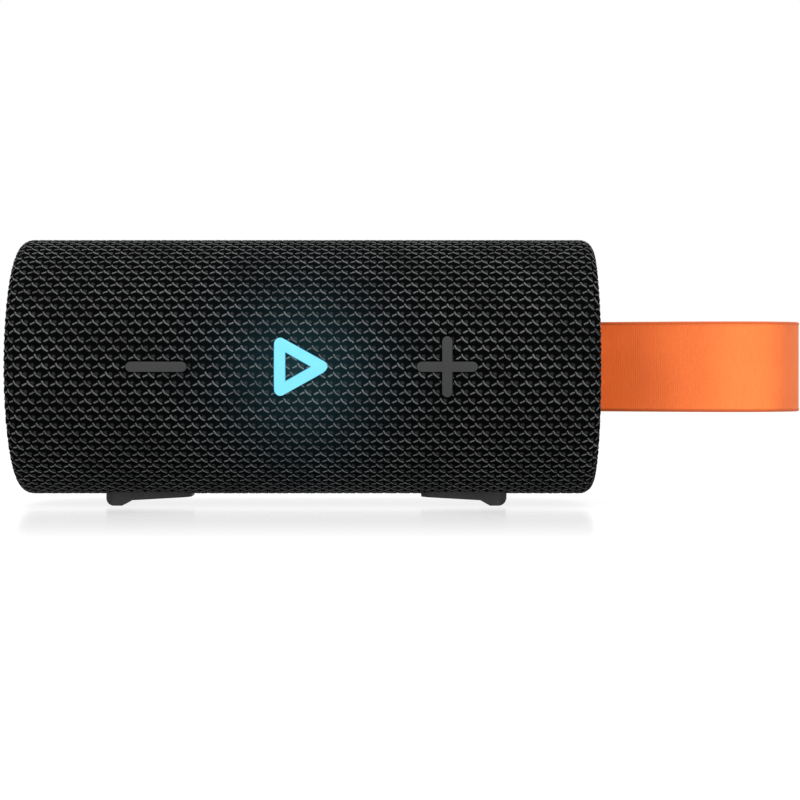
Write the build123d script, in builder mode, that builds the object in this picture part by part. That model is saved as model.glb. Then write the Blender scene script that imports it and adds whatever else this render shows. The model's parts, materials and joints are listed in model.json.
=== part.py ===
"""Small waterproof cylinder speaker with a cloth cover, three front keys and a strap loop.

Frame: +X runs along the body towards the strap, +Y points to the rear, +Z points up.
The origin is on the standing plane, below the middle of the body. Lengths are in millimetres.
"""

from build123d import *
from math import acos, atan2, cos, degrees, radians, sin, tan
import os

os.makedirs("parts", exist_ok=True)

# ---------------------------------------------------------------- driving dimensions
# Body and cover
body_length = 105.6
body_diameter = 46.9
end_rounding = 2.5
cloth_thickness = 0.8
cloth_gap = 0.25
housing_wall = 1.6
end_wall = 1.6
seam_gap = 0.3
part_gap = 0.2
fit = 0.05

# Feet
foot_height = 2.0
foot_inner_x = 21.1
foot_outer_x = 36.8
foot_depth = 10.0
foot_corner = 2.0
foot_skirt = 0.4
foot_step = 1.0
foot_bulb_start = 4.9
foot_bulb_slope = 1.8
foot_bulb_flat = 1.5
foot_stem_length = 9.0
foot_stem_depth = 6.0

# Front keys and their symbols
minus_x = -25.6
plus_x = 25.5
symbol_size = 10.7
symbol_bar = 1.78
play_back = -4.84
play_tip = 4.38
play_height = 10.2
play_line = 1.8
play_corner = 1.0
key_proud = 0.25
key_travel = 0.4
key_flange_size = 12.6
key_flange_corner = 2.0
key_flange_thickness = 1.1
key_nub_radius = 1.5
key_nub_length = 0.4
cloth_key_gap = 0.12
housing_key_gap = 0.25
press_gap = 0.05

# Circuit boards and what they carry
board_thickness = 0.8
key_board_height = 11.0
key_board_margin = 6.5
switch_size = 4.0
switch_height = 0.55
post_radius = 1.8
link_offset = 4.5
led_width = 1.6
led_depth = 0.8
led_height = 0.5
led_x = 4.2
main_board_thickness = 1.0
radio_length = 12.0
radio_depth = 9.0
radio_height = 1.8
amplifier_side = 5.0
power_chip_side = 4.0
chip_height = 0.9
board_battery_gap = 0.45
usb_width = 8.94
usb_height = 3.2
usb_length = 7.7
usb_skin = 0.32
usb_mouth_depth = 6.4
usb_tongue_width = 6.7
usb_tongue_height = 0.7
usb_tongue_length = 5.0
usb_x = 24.5

# Rear control strip
panel_x = 12.0
panel_width = 46.0
panel_height = 14.6
panel_drop = 0.8
panel_recess = 0.15
panel_flange = 1.2
panel_flange_thickness = 1.4
rear_key_radius = 3.3
rear_key_flange_radius = 3.9
rear_key_flange_thickness = 0.9
rear_key_nub_radius = 1.2
rear_key_nub_length = 0.4
power_x = -3.0
pairing_x = 8.0
icon_line = 0.5
icon_radius = 1.5
icon_depth = 0.25
rear_switch_width = 6.0
rear_switch_depth = 3.2
rear_switch_height = 3.4
well_width = 12.4
well_height = 6.6
well_floor = 0.7
lid_width = 16.4
lid_height = 9.2
lid_corner = 2.5
lid_seat_depth = 1.3
lid_gap = 0.2
lid_rib_width = 7.0
lid_rib_height = 1.0
hinge_radius = 0.9
hinge_pin_radius = 0.5
hinge_length = 10.4
hinge_below_lid = 0.8
hinge_depth = 1.3
hinge_room = 0.7

# End hardware
hem_radius = 19.6
trim_ring_width = 1.05
trim_ring_recess = 0.3
trim_ring_rounding = 0.3
cap_recess = 0.5
cap_flange_front = 2.8
cap_flange_thickness = 2.2
rib_width = 1.2
rib_height = 1.2
o_ring_width = 1.0
o_ring_depth = 0.7
radiator_travel = 1.0
radiator_wall = 1.65
radiator_ledge_width = 1.0
radiator_sink = 0.4
radiator_ledge_thickness = 1.0
radiator_roll = 1.3
radiator_skin = 0.35
radiator_landing = 1.7
radiator_dish_rim = 2.0
radiator_plate_thickness = 0.8
radiator_dish_depth = 0.3
radiator_weight_thickness = 2.0

# Strap, its pin and its pocket
strap_width = 16.5
strap_thickness = 1.4
strap_seam = 0.1
strap_reach = 38.3
strap_widest = 26.0
strap_half_spread = 8.6
strap_neck_out = 1.0
strap_side_radius = 35.0
strap_shoulder_radius = 14.0
strap_pin_radius = 1.25
strap_pin_depth = 3.8
pocket_half_depth = 3.4
pocket_side_gap = 0.5
pocket_corner = 1.5
pocket_bottom_depth = 7.0
pocket_block_wall = 1.45

# Driver, measured from its own axis and from the top of its flange
driver_radius = 15.3
flange_lap = 1.2
basket_taper = 2.7
magnet_room = 0.4
plate_inset = 0.6
surround_inset = 2.6
surround_landing = 0.73
cone_to_roll = 0.85
driver_screw_inset = 1.25
baffle_margin = 0.9
baffle_thickness = 1.4
gasket_thickness = 0.4
driver_travel = 0.8
flange_thickness = 1.2
basket_depth = 7.2
basket_skin = 0.9
top_plate_thickness = 1.5
magnet_thickness = 4.5
yoke_thickness = 1.8
pole_radius = 4.7
gap_radius = 5.7
spider_ledge_height = 1.6
spider_folds = 6
spider_rise = 0.5
coil_above_spider = 2.2
cone_skin = 0.35
roll_radius = 0.92
surround_skin = 0.3
window_width = 9.2
dust_cap_rise = 3.3

# Sound slots in the housing
slot_count = 7
slot_pitch = 3.4
slot_length = 8.7
slot_width = 1.65
slot_offset = 6.0

# Battery
battery_radius = 9.15
battery_length = 49.6
battery_floor = 1.15
battery_lead_room = 4.35
battery_edge = 0.6
cradle_grip = 2.5
cradle_end_gap = 3.0
board_overhang = 2.0
board_post_inset = 2.7
first_post_inset = 10.2
last_post_inset = 6.0

# Fasteners
screw_radius = 0.95
screw_head_radius = 1.9
screw_head_height = 1.3
screw_boss_radius = 2.8
screw_reach = 8.0
screw_head_depth = 2.8
screw_boss_gap = 0.5
boss_inset = 8.6
small_screw_radius = 0.65
small_screw_head_radius = 1.2
small_screw_head_height = 0.8
small_screw_length = 2.6
recess_share = 0.5

# Leads
lead_diameter = 0.5
lead_spread = 1.4
lead_arc_share = 0.45
battery_lead_rise = 4.5
battery_lead_run = 3.4
speaker_lead_drop = 4.3
speaker_lead_run = 2.6

# Blocks soldered on the main board
connector_depth = 4.6
connector_height = 2.4
battery_connector_length = 3.6
speaker_connector_length = 4.0
connector_inset = 1.6
speaker_connector_inset = 2.5
chip_row_y = -5.9
part_row_y = 6.2
lead_row_y = 3.7
radio_offset = -10.0
amplifier_offset = 3.0
power_chip_offset = 12.0
capacitor_offset = -7.0
capacitor_radius = 2.5
capacitor_height = 5.4
capacitor_pitch = 7.0
capacitor_edge = 0.4

# ---------------------------------------------------------------- derived dimensions
body_radius = body_diameter / 2
half_length = body_length / 2
axis_height = body_radius + foot_height
cloth_inner_radius = body_radius - cloth_thickness
housing_radius = cloth_inner_radius - cloth_gap
bore_radius = housing_radius - housing_wall
housing_half = half_length - cloth_thickness - part_gap
bore_half = housing_half - end_wall
body_axis = Axis((0, 0, axis_height), (1, 0, 0))


def chord(radius, height):
    """Half width of a circle at a height above its centre."""
    return (radius**2 - height**2) ** 0.5


# Key stack, measured forwards from the body axis
key_flange_front = chord(bore_radius, key_flange_size / 2) - part_gap
key_flange_back = key_flange_front - key_flange_thickness
key_nub_end = key_flange_back - key_nub_length
switch_top = key_nub_end - key_travel - press_gap
key_board_front = switch_top - switch_height
key_board_back = key_board_front - board_thickness
key_board_half = plus_x + key_board_margin
post_x = plus_x / 2

# Ends, measured outwards from the middle of the body
cap_flange_outer = half_length - cap_flange_front
cap_flange_inner = cap_flange_outer - cap_flange_thickness
cap_face = half_length - cap_recess
ring_outer_radius = hem_radius - part_gap
cap_radius = ring_outer_radius - trim_ring_width - fit
strap_pin_x = half_length - strap_pin_depth
pocket_half_height = strap_width / 2 + pocket_side_gap
pocket_bottom = half_length - pocket_bottom_depth
pocket_block_half = pocket_half_height + pocket_block_wall

# Battery below, main board on top of it
battery_centre = battery_floor + battery_radius - bore_radius
battery_end = pocket_bottom - pocket_block_wall - battery_lead_room
battery_start = battery_end - battery_length
main_board_bottom = battery_centre + battery_radius + board_battery_gap
main_board_top = main_board_bottom + main_board_thickness
main_board_start = battery_start + board_overhang
main_board_end = battery_end + board_overhang / 2
usb_centre = main_board_top + usb_height / 2

# Rear strip stack, measured rearwards from the body axis
panel_centre = usb_centre - panel_drop
panel_radius = body_radius - panel_recess
panel_reach = abs(panel_centre) + panel_height / 2 + panel_flange
panel_flange_front = chord(bore_radius, panel_reach) - part_gap / 2
panel_back = panel_flange_front - panel_flange_thickness
rear_key_flange_front = panel_back - part_gap
rear_key_flange_back = rear_key_flange_front - rear_key_flange_thickness
rear_nub_end = rear_key_flange_back - rear_key_nub_length
rear_switch_front = rear_nub_end - key_travel - press_gap
main_board_half_depth = rear_switch_front - part_gap
lid_seat = panel_radius - lid_seat_depth
hinge_height = usb_centre - lid_height / 2 - hinge_below_lid
hinge_y = panel_radius - hinge_depth
lid_edge_y = chord(panel_radius, usb_centre - lid_height / 2)
lid_swing_radius = ((lid_edge_y - hinge_y) ** 2 + hinge_below_lid**2) ** 0.5
lid_swing_low = hinge_height - lid_swing_radius - lid_gap
lid_swing_floor = hinge_y + hinge_radius / 2 - fit

# Housing screws, clear of the strap's pocket
boss_x = half_length - boss_inset
boss_height = pocket_block_half + screw_boss_gap + screw_boss_radius
screw_seat = chord(bore_radius, boss_height) - screw_head_depth

# Driver under the baffle, whose long edges meet the bore
basket_top_radius = driver_radius - flange_lap
basket_foot_radius = basket_top_radius - basket_taper
magnet_radius = basket_foot_radius - magnet_room
plate_radius = magnet_radius - plate_inset
surround_edge_radius = driver_radius - surround_inset
roll_centre_radius = surround_edge_radius - surround_landing - roll_radius
cone_radius = roll_centre_radius - cone_to_roll
driver_screw_circle = driver_radius - driver_screw_inset
baffle_half_depth = driver_radius
baffle_half_length = driver_radius + baffle_margin
baffle_top = chord(bore_radius, baffle_half_depth + part_gap)
baffle_bottom = baffle_top - baffle_thickness
driver_seat = baffle_bottom - gasket_thickness
driver_x = -(boss_x - screw_boss_radius - part_gap - baffle_half_length)
flange_bottom = driver_seat - flange_thickness
basket_bottom = driver_seat - basket_depth
plate_bottom = basket_bottom - top_plate_thickness
magnet_bottom = plate_bottom - magnet_thickness
yoke_bottom = magnet_bottom - yoke_thickness
coil_inner_radius = pole_radius + part_gap
coil_outer_radius = gap_radius - part_gap
spider_seat = basket_bottom + spider_ledge_height
spider_radius = basket_foot_radius - basket_skin / 2


# ---------------------------------------------------------------- planes and shared shapes
axial_plane = Plane(origin=(0, 0, axis_height), x_dir=(1, 0, 0), z_dir=(0, -1, 0))
left_end_plane = Plane(origin=(0, 0, axis_height), x_dir=(0, 0, 1), z_dir=(0, -1, 0))
right_end_plane = Plane(origin=(0, 0, axis_height), x_dir=(0, 0, 1), z_dir=(0, 1, 0))
driver_plane = Plane(origin=(driver_x, 0, axis_height), x_dir=(1, 0, 0), z_dir=(0, -1, 0))
driver_axis = Axis((driver_x, 0, axis_height), (0, 0, 1))


def front_plane(x, depth):
    """Plane facing the front, a distance before the body axis."""
    return Plane(origin=(x, -depth, axis_height), x_dir=(1, 0, 0), z_dir=(0, -1, 0))


def rear_plane(x, depth, height=0):
    """Plane facing the rear, a distance behind the body axis."""
    return Plane(origin=(x, depth, axis_height + height), x_dir=(-1, 0, 0), z_dir=(0, 1, 0))


def level_plane(x, y, height):
    """Plane facing up, at a height above the body axis."""
    return Plane(origin=(x, y, axis_height + height), x_dir=(1, 0, 0), z_dir=(0, 0, 1))


def end_plane(distance):
    """Plane facing the strap's end, at a distance from the middle; its local x is +Y."""
    return Plane(origin=(distance, 0, axis_height), x_dir=(0, 1, 0), z_dir=(1, 0, 0))


def barrel(radius, length, rounding):
    """Half outline of a round-edged cylinder on the body axis."""
    with BuildSketch(axial_plane) as outline:
        with Locations((0, radius / 2)):
            Rectangle(length, radius)
        fillet(outline.vertices().group_by(Axis.Y)[-1], rounding)
    return outline.sketch


def body_envelope(radius):
    """Half outline of the body's own shape at another radius."""
    return barrel(radius, body_length, end_rounding)


def band(plane, inner, outer, low, high):
    """Rectangle between two radii and two heights, to be turned into a ring."""
    with BuildSketch(plane) as section:
        with Locations(((inner + outer) / 2, (low + high) / 2)):
            Rectangle(outer - inner, high - low)
    return section.sketch


def half_roll(plane, centre, seat, radius, skin, inner_edge, outer_edge):
    """Section of a half-roll surround with a flat landing on each side."""
    with BuildSketch(plane) as section:
        with Locations((centre, seat)):
            Circle(radius)
            Circle(radius - skin, mode=Mode.SUBTRACT)
        with Locations((centre, seat - radius)):
            Rectangle(2 * radius, 2 * radius, mode=Mode.SUBTRACT)
        with Locations(((inner_edge + centre - radius + skin) / 2, seat + skin / 2)):
            Rectangle(centre - radius + skin - inner_edge, skin)
        with Locations(((outer_edge + centre + radius - skin) / 2, seat + skin / 2)):
            Rectangle(outer_edge - centre - radius + skin, skin)
    return section.sketch


def minus_symbol(plane, grow=0):
    """Rounded bar."""
    with BuildSketch(plane) as symbol:
        SlotOverall(symbol_size + 2 * grow, symbol_bar + 2 * grow)
    return symbol.sketch


def plus_symbol(plane, grow=0):
    """Two crossed rounded bars."""
    with BuildSketch(plane) as symbol:
        SlotOverall(symbol_size + 2 * grow, symbol_bar + 2 * grow)
        SlotOverall(symbol_size + 2 * grow, symbol_bar + 2 * grow, rotation=90)
    return symbol.sketch


def play_symbol(plane, grow=0):
    """Triangle with rounded corners, pointing along +X."""
    half = play_height / 2 - play_corner
    with BuildSketch(plane) as symbol:
        with BuildLine():
            Polyline(
                (play_back + play_corner, half),
                (play_back + play_corner, -half),
                (play_tip - play_corner, 0),
                close=True,
            )
        make_face()
        offset(amount=play_corner + grow, kind=Kind.ARC)
    return symbol.sketch


def screw(plane, radius, length, head_radius, head_height):
    """Pan-head screw with a cross recess: its head stands on the plane, its shank goes below."""
    with BuildPart() as piece:
        with BuildSketch(plane):
            Circle(head_radius)
        extrude(amount=head_height)
        fillet(piece.edges().group_by(SortBy.LENGTH)[-1], head_height / 4)
        with BuildSketch(plane):
            Circle(radius)
        extrude(amount=-length)
        with BuildSketch(plane.offset(head_height)):
            Rectangle(head_radius, head_radius / 4)
            Rectangle(head_radius / 4, head_radius)
        extrude(amount=-head_height * recess_share, mode=Mode.SUBTRACT)
    return piece.part


def lead(points):
    """Round wire through the points, each bend as large as its two runs allow."""
    runs = [Vector(*b) - Vector(*a) for a, b in zip(points, points[1:])]
    radii = [
        lead_arc_share * min(a.length, b.length) / tan(radians(a.get_angle(b) / 2))
        for a, b in zip(runs, runs[1:])
    ]
    print("lead bend radii:", [round(radius, 2) for radius in radii])
    with BuildPart() as wire:
        with BuildLine() as route:
            FilletPolyline(*points, radius=radii)
        with BuildSketch(Plane(origin=points[0], z_dir=runs[0])):
            Circle(lead_diameter / 2)
        sweep(path=route.line)
    return wire.part


# ---------------------------------------------------------------- cloth cover
foot_centre_x = (foot_inner_x + foot_outer_x) / 2

with BuildPart() as cloth_sleeve:
    revolve(body_envelope(body_radius), axis=body_axis)
    revolve(
        barrel(cloth_inner_radius, body_length - 2 * cloth_thickness, end_rounding - cloth_thickness),
        axis=body_axis,
        mode=Mode.SUBTRACT,
    )
    with BuildSketch(end_plane(-half_length)):
        Circle(hem_radius)
    extrude(amount=body_length, mode=Mode.SUBTRACT)
    extrude(minus_symbol(front_plane(minus_x, 0), cloth_key_gap), amount=body_radius, mode=Mode.SUBTRACT)
    extrude(play_symbol(front_plane(0, 0), cloth_key_gap), amount=body_radius, mode=Mode.SUBTRACT)
    extrude(plus_symbol(front_plane(plus_x, 0), cloth_key_gap), amount=body_radius, mode=Mode.SUBTRACT)
    with BuildSketch(rear_plane(panel_x, 0, panel_centre)):
        SlotOverall(panel_width + 2 * part_gap, panel_height + 2 * part_gap)
    extrude(amount=body_radius, mode=Mode.SUBTRACT)
    with BuildSketch(level_plane(0, 0, 0)):
        with GridLocations(2 * foot_centre_x, 0, 2, 1):
            Rectangle(foot_stem_length + 2 * part_gap, foot_stem_depth + 2 * part_gap)
    extrude(amount=-body_radius, mode=Mode.SUBTRACT)

cloth_sleeve.part.label = "cloth_sleeve"
export_step(cloth_sleeve.part, "parts/cloth_sleeve.step")


# ---------------------------------------------------------------- housing halves
def half_housing(side):
    """One half of the tubular housing: -1 for the front, 1 for the rear."""
    seam_plane = Plane(
        origin=(0, side * seam_gap / 2, axis_height), x_dir=(1, 0, 0), z_dir=(0, side, 0)
    )
    with BuildPart() as bosses:
        with BuildSketch(seam_plane):
            with GridLocations(2 * boss_x, 2 * boss_height, 2, 2):
                Circle(screw_boss_radius)
        extrude(amount=bore_radius)
        revolve(body_envelope(bore_radius + housing_wall / 2), axis=body_axis, mode=Mode.INTERSECT)
    with BuildPart() as half:
        revolve(barrel(housing_radius, 2 * housing_half, end_rounding - cloth_thickness), axis=body_axis)
        revolve(barrel(bore_radius, 2 * bore_half, fit), axis=body_axis, mode=Mode.SUBTRACT)
        with BuildSketch(end_plane(-half_length)):
            Circle(hem_radius)
        extrude(amount=body_length, mode=Mode.SUBTRACT)
        # ribs that trap the flange of each end cap
        for rib_plane in (left_end_plane, right_end_plane):
            revolve(
                band(
                    rib_plane,
                    bore_radius - rib_height,
                    bore_radius + fit,
                    cap_flange_inner - fit - rib_width,
                    cap_flange_inner - fit,
                ),
                axis=body_axis,
            )
        # keep this side of the seam
        with BuildSketch(seam_plane):
            Rectangle(body_length, body_diameter)
        extrude(amount=body_radius, mode=Mode.INTERSECT)
        add(bosses.part)
        # sound slots above the driver
        with BuildSketch(level_plane(driver_x, side * slot_offset, 0)):
            with GridLocations(slot_pitch, 0, slot_count, 1):
                SlotOverall(slot_length, slot_width, rotation=90)
        extrude(amount=body_radius, mode=Mode.SUBTRACT)
        # sockets of the feet
        with BuildSketch(level_plane(0, 0, 0)):
            with GridLocations(2 * foot_centre_x, 0, 2, 1):
                Rectangle(foot_stem_length + 2 * fit, foot_stem_depth + 2 * fit)
        extrude(amount=-body_radius, mode=Mode.SUBTRACT)
    return half.part


with BuildPart() as front_housing:
    add(half_housing(-1))
    extrude(minus_symbol(front_plane(minus_x, 0), housing_key_gap), amount=body_radius, mode=Mode.SUBTRACT)
    extrude(play_symbol(front_plane(0, 0), housing_key_gap), amount=body_radius, mode=Mode.SUBTRACT)
    extrude(plus_symbol(front_plane(plus_x, 0), housing_key_gap), amount=body_radius, mode=Mode.SUBTRACT)
    # posts for the key board
    with BuildSketch(front_plane(0, key_board_front)):
        with GridLocations(2 * post_x, 0, 2, 1):
            Circle(post_radius)
    extrude(amount=bore_radius + housing_wall / 2 - key_board_front)
    with BuildSketch(front_plane(0, key_board_front)):
        with GridLocations(2 * post_x, 0, 2, 1):
            Circle(small_screw_radius + fit)
    extrude(amount=small_screw_length, mode=Mode.SUBTRACT)
    # pilot holes of the housing screws
    with BuildSketch(front_plane(0, 0)):
        with GridLocations(2 * boss_x, 2 * boss_height, 2, 2):
            Circle(screw_radius + fit)
    extrude(amount=screw_reach + part_gap, mode=Mode.SUBTRACT)

front_housing.part.label = "front_housing"
export_step(front_housing.part, "parts/front_housing.step")


with BuildPart() as rear_housing:
    add(half_housing(1))
    with BuildSketch(rear_plane(panel_x, 0, panel_centre)):
        SlotOverall(panel_width + 2 * fit, panel_height + 2 * fit)
    extrude(amount=body_radius, mode=Mode.SUBTRACT)
    # clearance holes and head recesses of the housing screws
    with BuildSketch(rear_plane(0, 0)):
        with GridLocations(2 * boss_x, 2 * boss_height, 2, 2):
            Circle(screw_radius + fit)
    extrude(amount=body_radius, mode=Mode.SUBTRACT)
    with BuildSketch(rear_plane(0, screw_seat)):
        with GridLocations(2 * boss_x, 2 * boss_height, 2, 2):
            Circle(screw_head_radius + part_gap)
    extrude(amount=body_radius, mode=Mode.SUBTRACT)

rear_housing.part.label = "rear_housing"
export_step(rear_housing.part, "parts/rear_housing.step")


with BuildPart() as housing_screws:
    for side_x in (-boss_x, boss_x):
        for height in (-boss_height, boss_height):
            add(
                screw(
                    rear_plane(side_x, screw_seat, height),
                    screw_radius,
                    screw_seat + screw_reach,
                    screw_head_radius,
                    screw_head_height,
                )
            )

housing_screws.part.label = "housing_screws"
export_step(housing_screws.part, "parts/housing_screws.step")


seal_height = housing_wall / 2

with BuildPart() as seam_seal:
    with BuildSketch(Plane(origin=(0, 0, axis_height), x_dir=(1, 0, 0), z_dir=(0, 1, 0))):
        with GridLocations(0, 2 * (bore_radius + housing_wall / 2), 1, 2):
            Rectangle(2 * cap_flange_inner, seal_height)
    extrude(amount=seam_gap / 2, both=True)
    with BuildSketch(level_plane(0, 0, 0)):
        with GridLocations(2 * foot_centre_x, 0, 2, 1):
            Rectangle(foot_stem_length + 2 * fit, foot_stem_depth)
    extrude(amount=-body_radius, mode=Mode.SUBTRACT)

seam_seal.part.label = "seam_seal"
export_step(seam_seal.part, "parts/seam_seal.step")

# ---------------------------------------------------------------- feet
for foot_name, side in (("left_foot", -1), ("right_foot", 1)):
    bulb_x = foot_outer_x - foot_bulb_start
    flat_x = bulb_x + foot_bulb_slope
    flat_end_x = flat_x + foot_bulb_flat
    outer_rise = foot_outer_x - flat_end_x
    with BuildPart() as foot:
        with BuildSketch(Plane(origin=(0, 0, 0), x_dir=(side, 0, 0), z_dir=(0, -side, 0))):
            with BuildLine():
                outline = Polyline(
                    (foot_outer_x, outer_rise),
                    (foot_outer_x, foot_height + foot_step),
                    (foot_inner_x, foot_height + foot_step),
                    (foot_inner_x, foot_height - foot_skirt),
                    (bulb_x, foot_height - foot_step),
                    (flat_x, 0),
                    (flat_end_x, 0),
                )
                RadiusArc(outline @ 1, outline @ 0, -outer_rise)
            make_face()
        extrude(amount=foot_depth / 2, both=True)
        with BuildSketch(level_plane(side * foot_centre_x, 0, -axis_height)):
            RectangleRounded(foot_outer_x - foot_inner_x, foot_depth, foot_corner)
        extrude(amount=foot_height + foot_step, mode=Mode.INTERSECT)
        revolve(body_envelope(body_radius), axis=body_axis, mode=Mode.SUBTRACT)
        with BuildSketch(level_plane(side * foot_centre_x, 0, -bore_radius)):
            Rectangle(foot_stem_length, foot_stem_depth)
        extrude(amount=bore_radius - body_radius - foot_skirt / 2)
    foot.part.label = foot_name
    export_step(foot.part, f"parts/{foot_name}.step")


# ---------------------------------------------------------------- front keys
def key_base(x):
    """Flange and nub that every front key has behind the housing wall."""
    with BuildPart() as base:
        with BuildSketch(front_plane(x, key_flange_back)):
            RectangleRounded(key_flange_size, key_flange_size, key_flange_corner)
        extrude(amount=key_flange_thickness)
        with BuildSketch(front_plane(x, key_nub_end)):
            Circle(key_nub_radius)
        extrude(amount=key_nub_length)
    return base.part


def key_tip(symbol, radius):
    """A symbol's prism, ending on a cylinder about the body axis."""
    with BuildPart() as tip:
        extrude(symbol, amount=body_radius)
        revolve(body_envelope(radius), axis=body_axis, mode=Mode.INTERSECT)
    return tip.part


with BuildPart() as minus_key:
    add(key_base(minus_x))
    add(key_tip(minus_symbol(front_plane(minus_x, key_flange_front)), body_radius + key_proud))

minus_key.part.label = "minus_key"
export_step(minus_key.part, "parts/minus_key.step")


with BuildPart() as plus_key:
    add(key_base(plus_x))
    add(key_tip(plus_symbol(front_plane(plus_x, key_flange_front)), body_radius + key_proud))

plus_key.part.label = "plus_key"
export_step(plus_key.part, "parts/plus_key.step")


with BuildPart() as play_key:
    add(key_base(0))
    add(key_tip(play_symbol(front_plane(0, key_flange_front)), body_radius + key_proud))
    # the cloth patch's bed inside the triangle
    with BuildPart(mode=Mode.PRIVATE) as patch_bed:
        extrude(play_symbol(front_plane(0, 0), -play_line), amount=body_diameter)
        revolve(body_envelope(cloth_inner_radius), axis=body_axis, mode=Mode.SUBTRACT)
    add(patch_bed.part, mode=Mode.SUBTRACT)

play_key.part.label = "play_key"
export_step(play_key.part, "parts/play_key.step")


with BuildPart() as play_cloth_patch:
    extrude(play_symbol(front_plane(0, 0), -play_line - cloth_key_gap), amount=body_diameter)
    revolve(body_envelope(body_radius), axis=body_axis, mode=Mode.INTERSECT)
    revolve(body_envelope(cloth_inner_radius), axis=body_axis, mode=Mode.SUBTRACT)

play_cloth_patch.part.label = "play_cloth_patch"
export_step(play_cloth_patch.part, "parts/play_cloth_patch.step")


# ---------------------------------------------------------------- key board
with BuildPart() as key_board:
    with BuildSketch(front_plane(0, key_board_back)):
        RectangleRounded(2 * key_board_half, key_board_height, key_flange_corner)
        with GridLocations(2 * post_x, 0, 2, 1):
            Circle(small_screw_radius + fit, mode=Mode.SUBTRACT)
    extrude(amount=board_thickness)

key_board.part.label = "key_board"
export_step(key_board.part, "parts/key_board.step")


with BuildPart() as key_board_screws:
    for side_x in (-post_x, post_x):
        add(
            screw(
                Plane(
                    origin=(side_x, -key_board_back, axis_height), x_dir=(1, 0, 0), z_dir=(0, 1, 0)
                ),
                small_screw_radius,
                small_screw_length,
                small_screw_head_radius,
                small_screw_head_height,
            )
        )

key_board_screws.part.label = "key_board_screws"
export_step(key_board_screws.part, "parts/key_board_screws.step")


with BuildPart() as key_switches:
    for key_x in (minus_x, 0, plus_x):
        with BuildSketch(front_plane(key_x, key_board_front)):
            RectangleRounded(switch_size, switch_size, switch_size / 8)
        extrude(amount=switch_height * recess_share)
        with BuildSketch(front_plane(key_x, key_board_front)):
            Circle(key_nub_radius)
        extrude(amount=switch_height)

key_switches.part.label = "key_switches"
export_step(key_switches.part, "parts/key_switches.step")


with BuildPart() as play_leds:
    with BuildSketch(front_plane(0, key_board_front)):
        with GridLocations(2 * led_x, 0, 2, 1):
            Rectangle(led_width, led_depth)
    extrude(amount=led_height)

play_leds.part.label = "play_leds"
export_step(play_leds.part, "parts/play_leds.step")

# ---------------------------------------------------------------- rear control strip
lid_recess_width = lid_width + 2 * lid_gap
lid_recess_height = lid_height + 2 * lid_gap
hinge_trough_bottom = hinge_height - hinge_radius - hinge_room
hinge_trough_height = usb_centre - hinge_trough_bottom
hinge_pin_length = hinge_length + 2 * hinge_radius + 2 * lid_gap

with BuildPart() as rear_panel:
    with BuildSketch(rear_plane(panel_x, panel_back, panel_centre)):
        SlotOverall(panel_width, panel_height)
    extrude(amount=body_radius)
    revolve(body_envelope(panel_radius), axis=body_axis, mode=Mode.INTERSECT)
    with BuildSketch(rear_plane(panel_x, panel_back, panel_centre)):
        SlotOverall(panel_width + 2 * panel_flange, panel_height + 2 * panel_flange)
    extrude(amount=panel_flange_thickness)
    with BuildSketch(rear_plane(0, panel_back)):
        with Locations((-power_x, panel_centre), (-pairing_x, panel_centre)):
            Circle(rear_key_radius + part_gap)
    extrude(amount=body_radius, mode=Mode.SUBTRACT)
    # port well with the socket's mouth in its floor
    with BuildSketch(rear_plane(usb_x, panel_back + well_floor, usb_centre)):
        SlotOverall(well_width, well_height)
    extrude(amount=body_radius, mode=Mode.SUBTRACT)
    with BuildSketch(rear_plane(usb_x, panel_back, usb_centre)):
        SlotOverall(usb_width + 2 * fit, usb_height + 2 * fit)
    extrude(amount=well_floor, mode=Mode.SUBTRACT)
    # seat of the lid, room for its lower edge to swing out, and trough of its hinge
    with BuildSketch(rear_plane(usb_x, lid_seat, usb_centre)):
        RectangleRounded(lid_recess_width, lid_recess_height, lid_corner)
    extrude(amount=body_radius, mode=Mode.SUBTRACT)
    with BuildSketch(rear_plane(usb_x, lid_swing_floor, (usb_centre + lid_swing_low) / 2)):
        RectangleRounded(lid_recess_width, usb_centre - lid_swing_low, lid_corner)
    extrude(amount=body_radius, mode=Mode.SUBTRACT)
    with BuildSketch(
        rear_plane(usb_x, hinge_y - hinge_radius - lid_gap, usb_centre - hinge_trough_height / 2)
    ):
        Rectangle(hinge_length + 2 * lid_gap, hinge_trough_height)
    extrude(amount=body_radius, mode=Mode.SUBTRACT)
    with BuildSketch(Plane(origin=(usb_x, hinge_y, axis_height + hinge_height), z_dir=(1, 0, 0))):
        Circle(hinge_pin_radius + fit / 2)
    extrude(amount=hinge_pin_length / 2 + fit, both=True, mode=Mode.SUBTRACT)

rear_panel.part.label = "rear_panel"
export_step(rear_panel.part, "parts/rear_panel.step")


with BuildPart() as panel_gasket:
    with BuildSketch(rear_plane(panel_x, panel_flange_front, panel_centre)):
        SlotOverall(panel_width + 2 * panel_flange, panel_height + 2 * panel_flange)
        SlotOverall(panel_width + part_gap, panel_height + part_gap, mode=Mode.SUBTRACT)
    extrude(amount=body_radius)
    revolve(body_envelope(bore_radius), axis=body_axis, mode=Mode.INTERSECT)

panel_gasket.part.label = "panel_gasket"
export_step(panel_gasket.part, "parts/panel_gasket.step")


def rear_key(x):
    """Round key blank with its flange behind the strip and a nub for the switch."""
    with BuildPart() as key:
        with BuildSketch(rear_plane(x, rear_key_flange_back, panel_centre)):
            Circle(rear_key_radius)
        extrude(amount=body_radius)
        revolve(body_envelope(body_radius), axis=body_axis, mode=Mode.INTERSECT)
        with BuildSketch(rear_plane(x, rear_key_flange_back, panel_centre)):
            Circle(rear_key_flange_radius)
        extrude(amount=rear_key_flange_thickness)
        with BuildSketch(rear_plane(x, rear_nub_end, panel_centre)):
            Circle(rear_key_nub_radius)
        extrude(amount=rear_key_nub_length)
    return key.part


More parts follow.
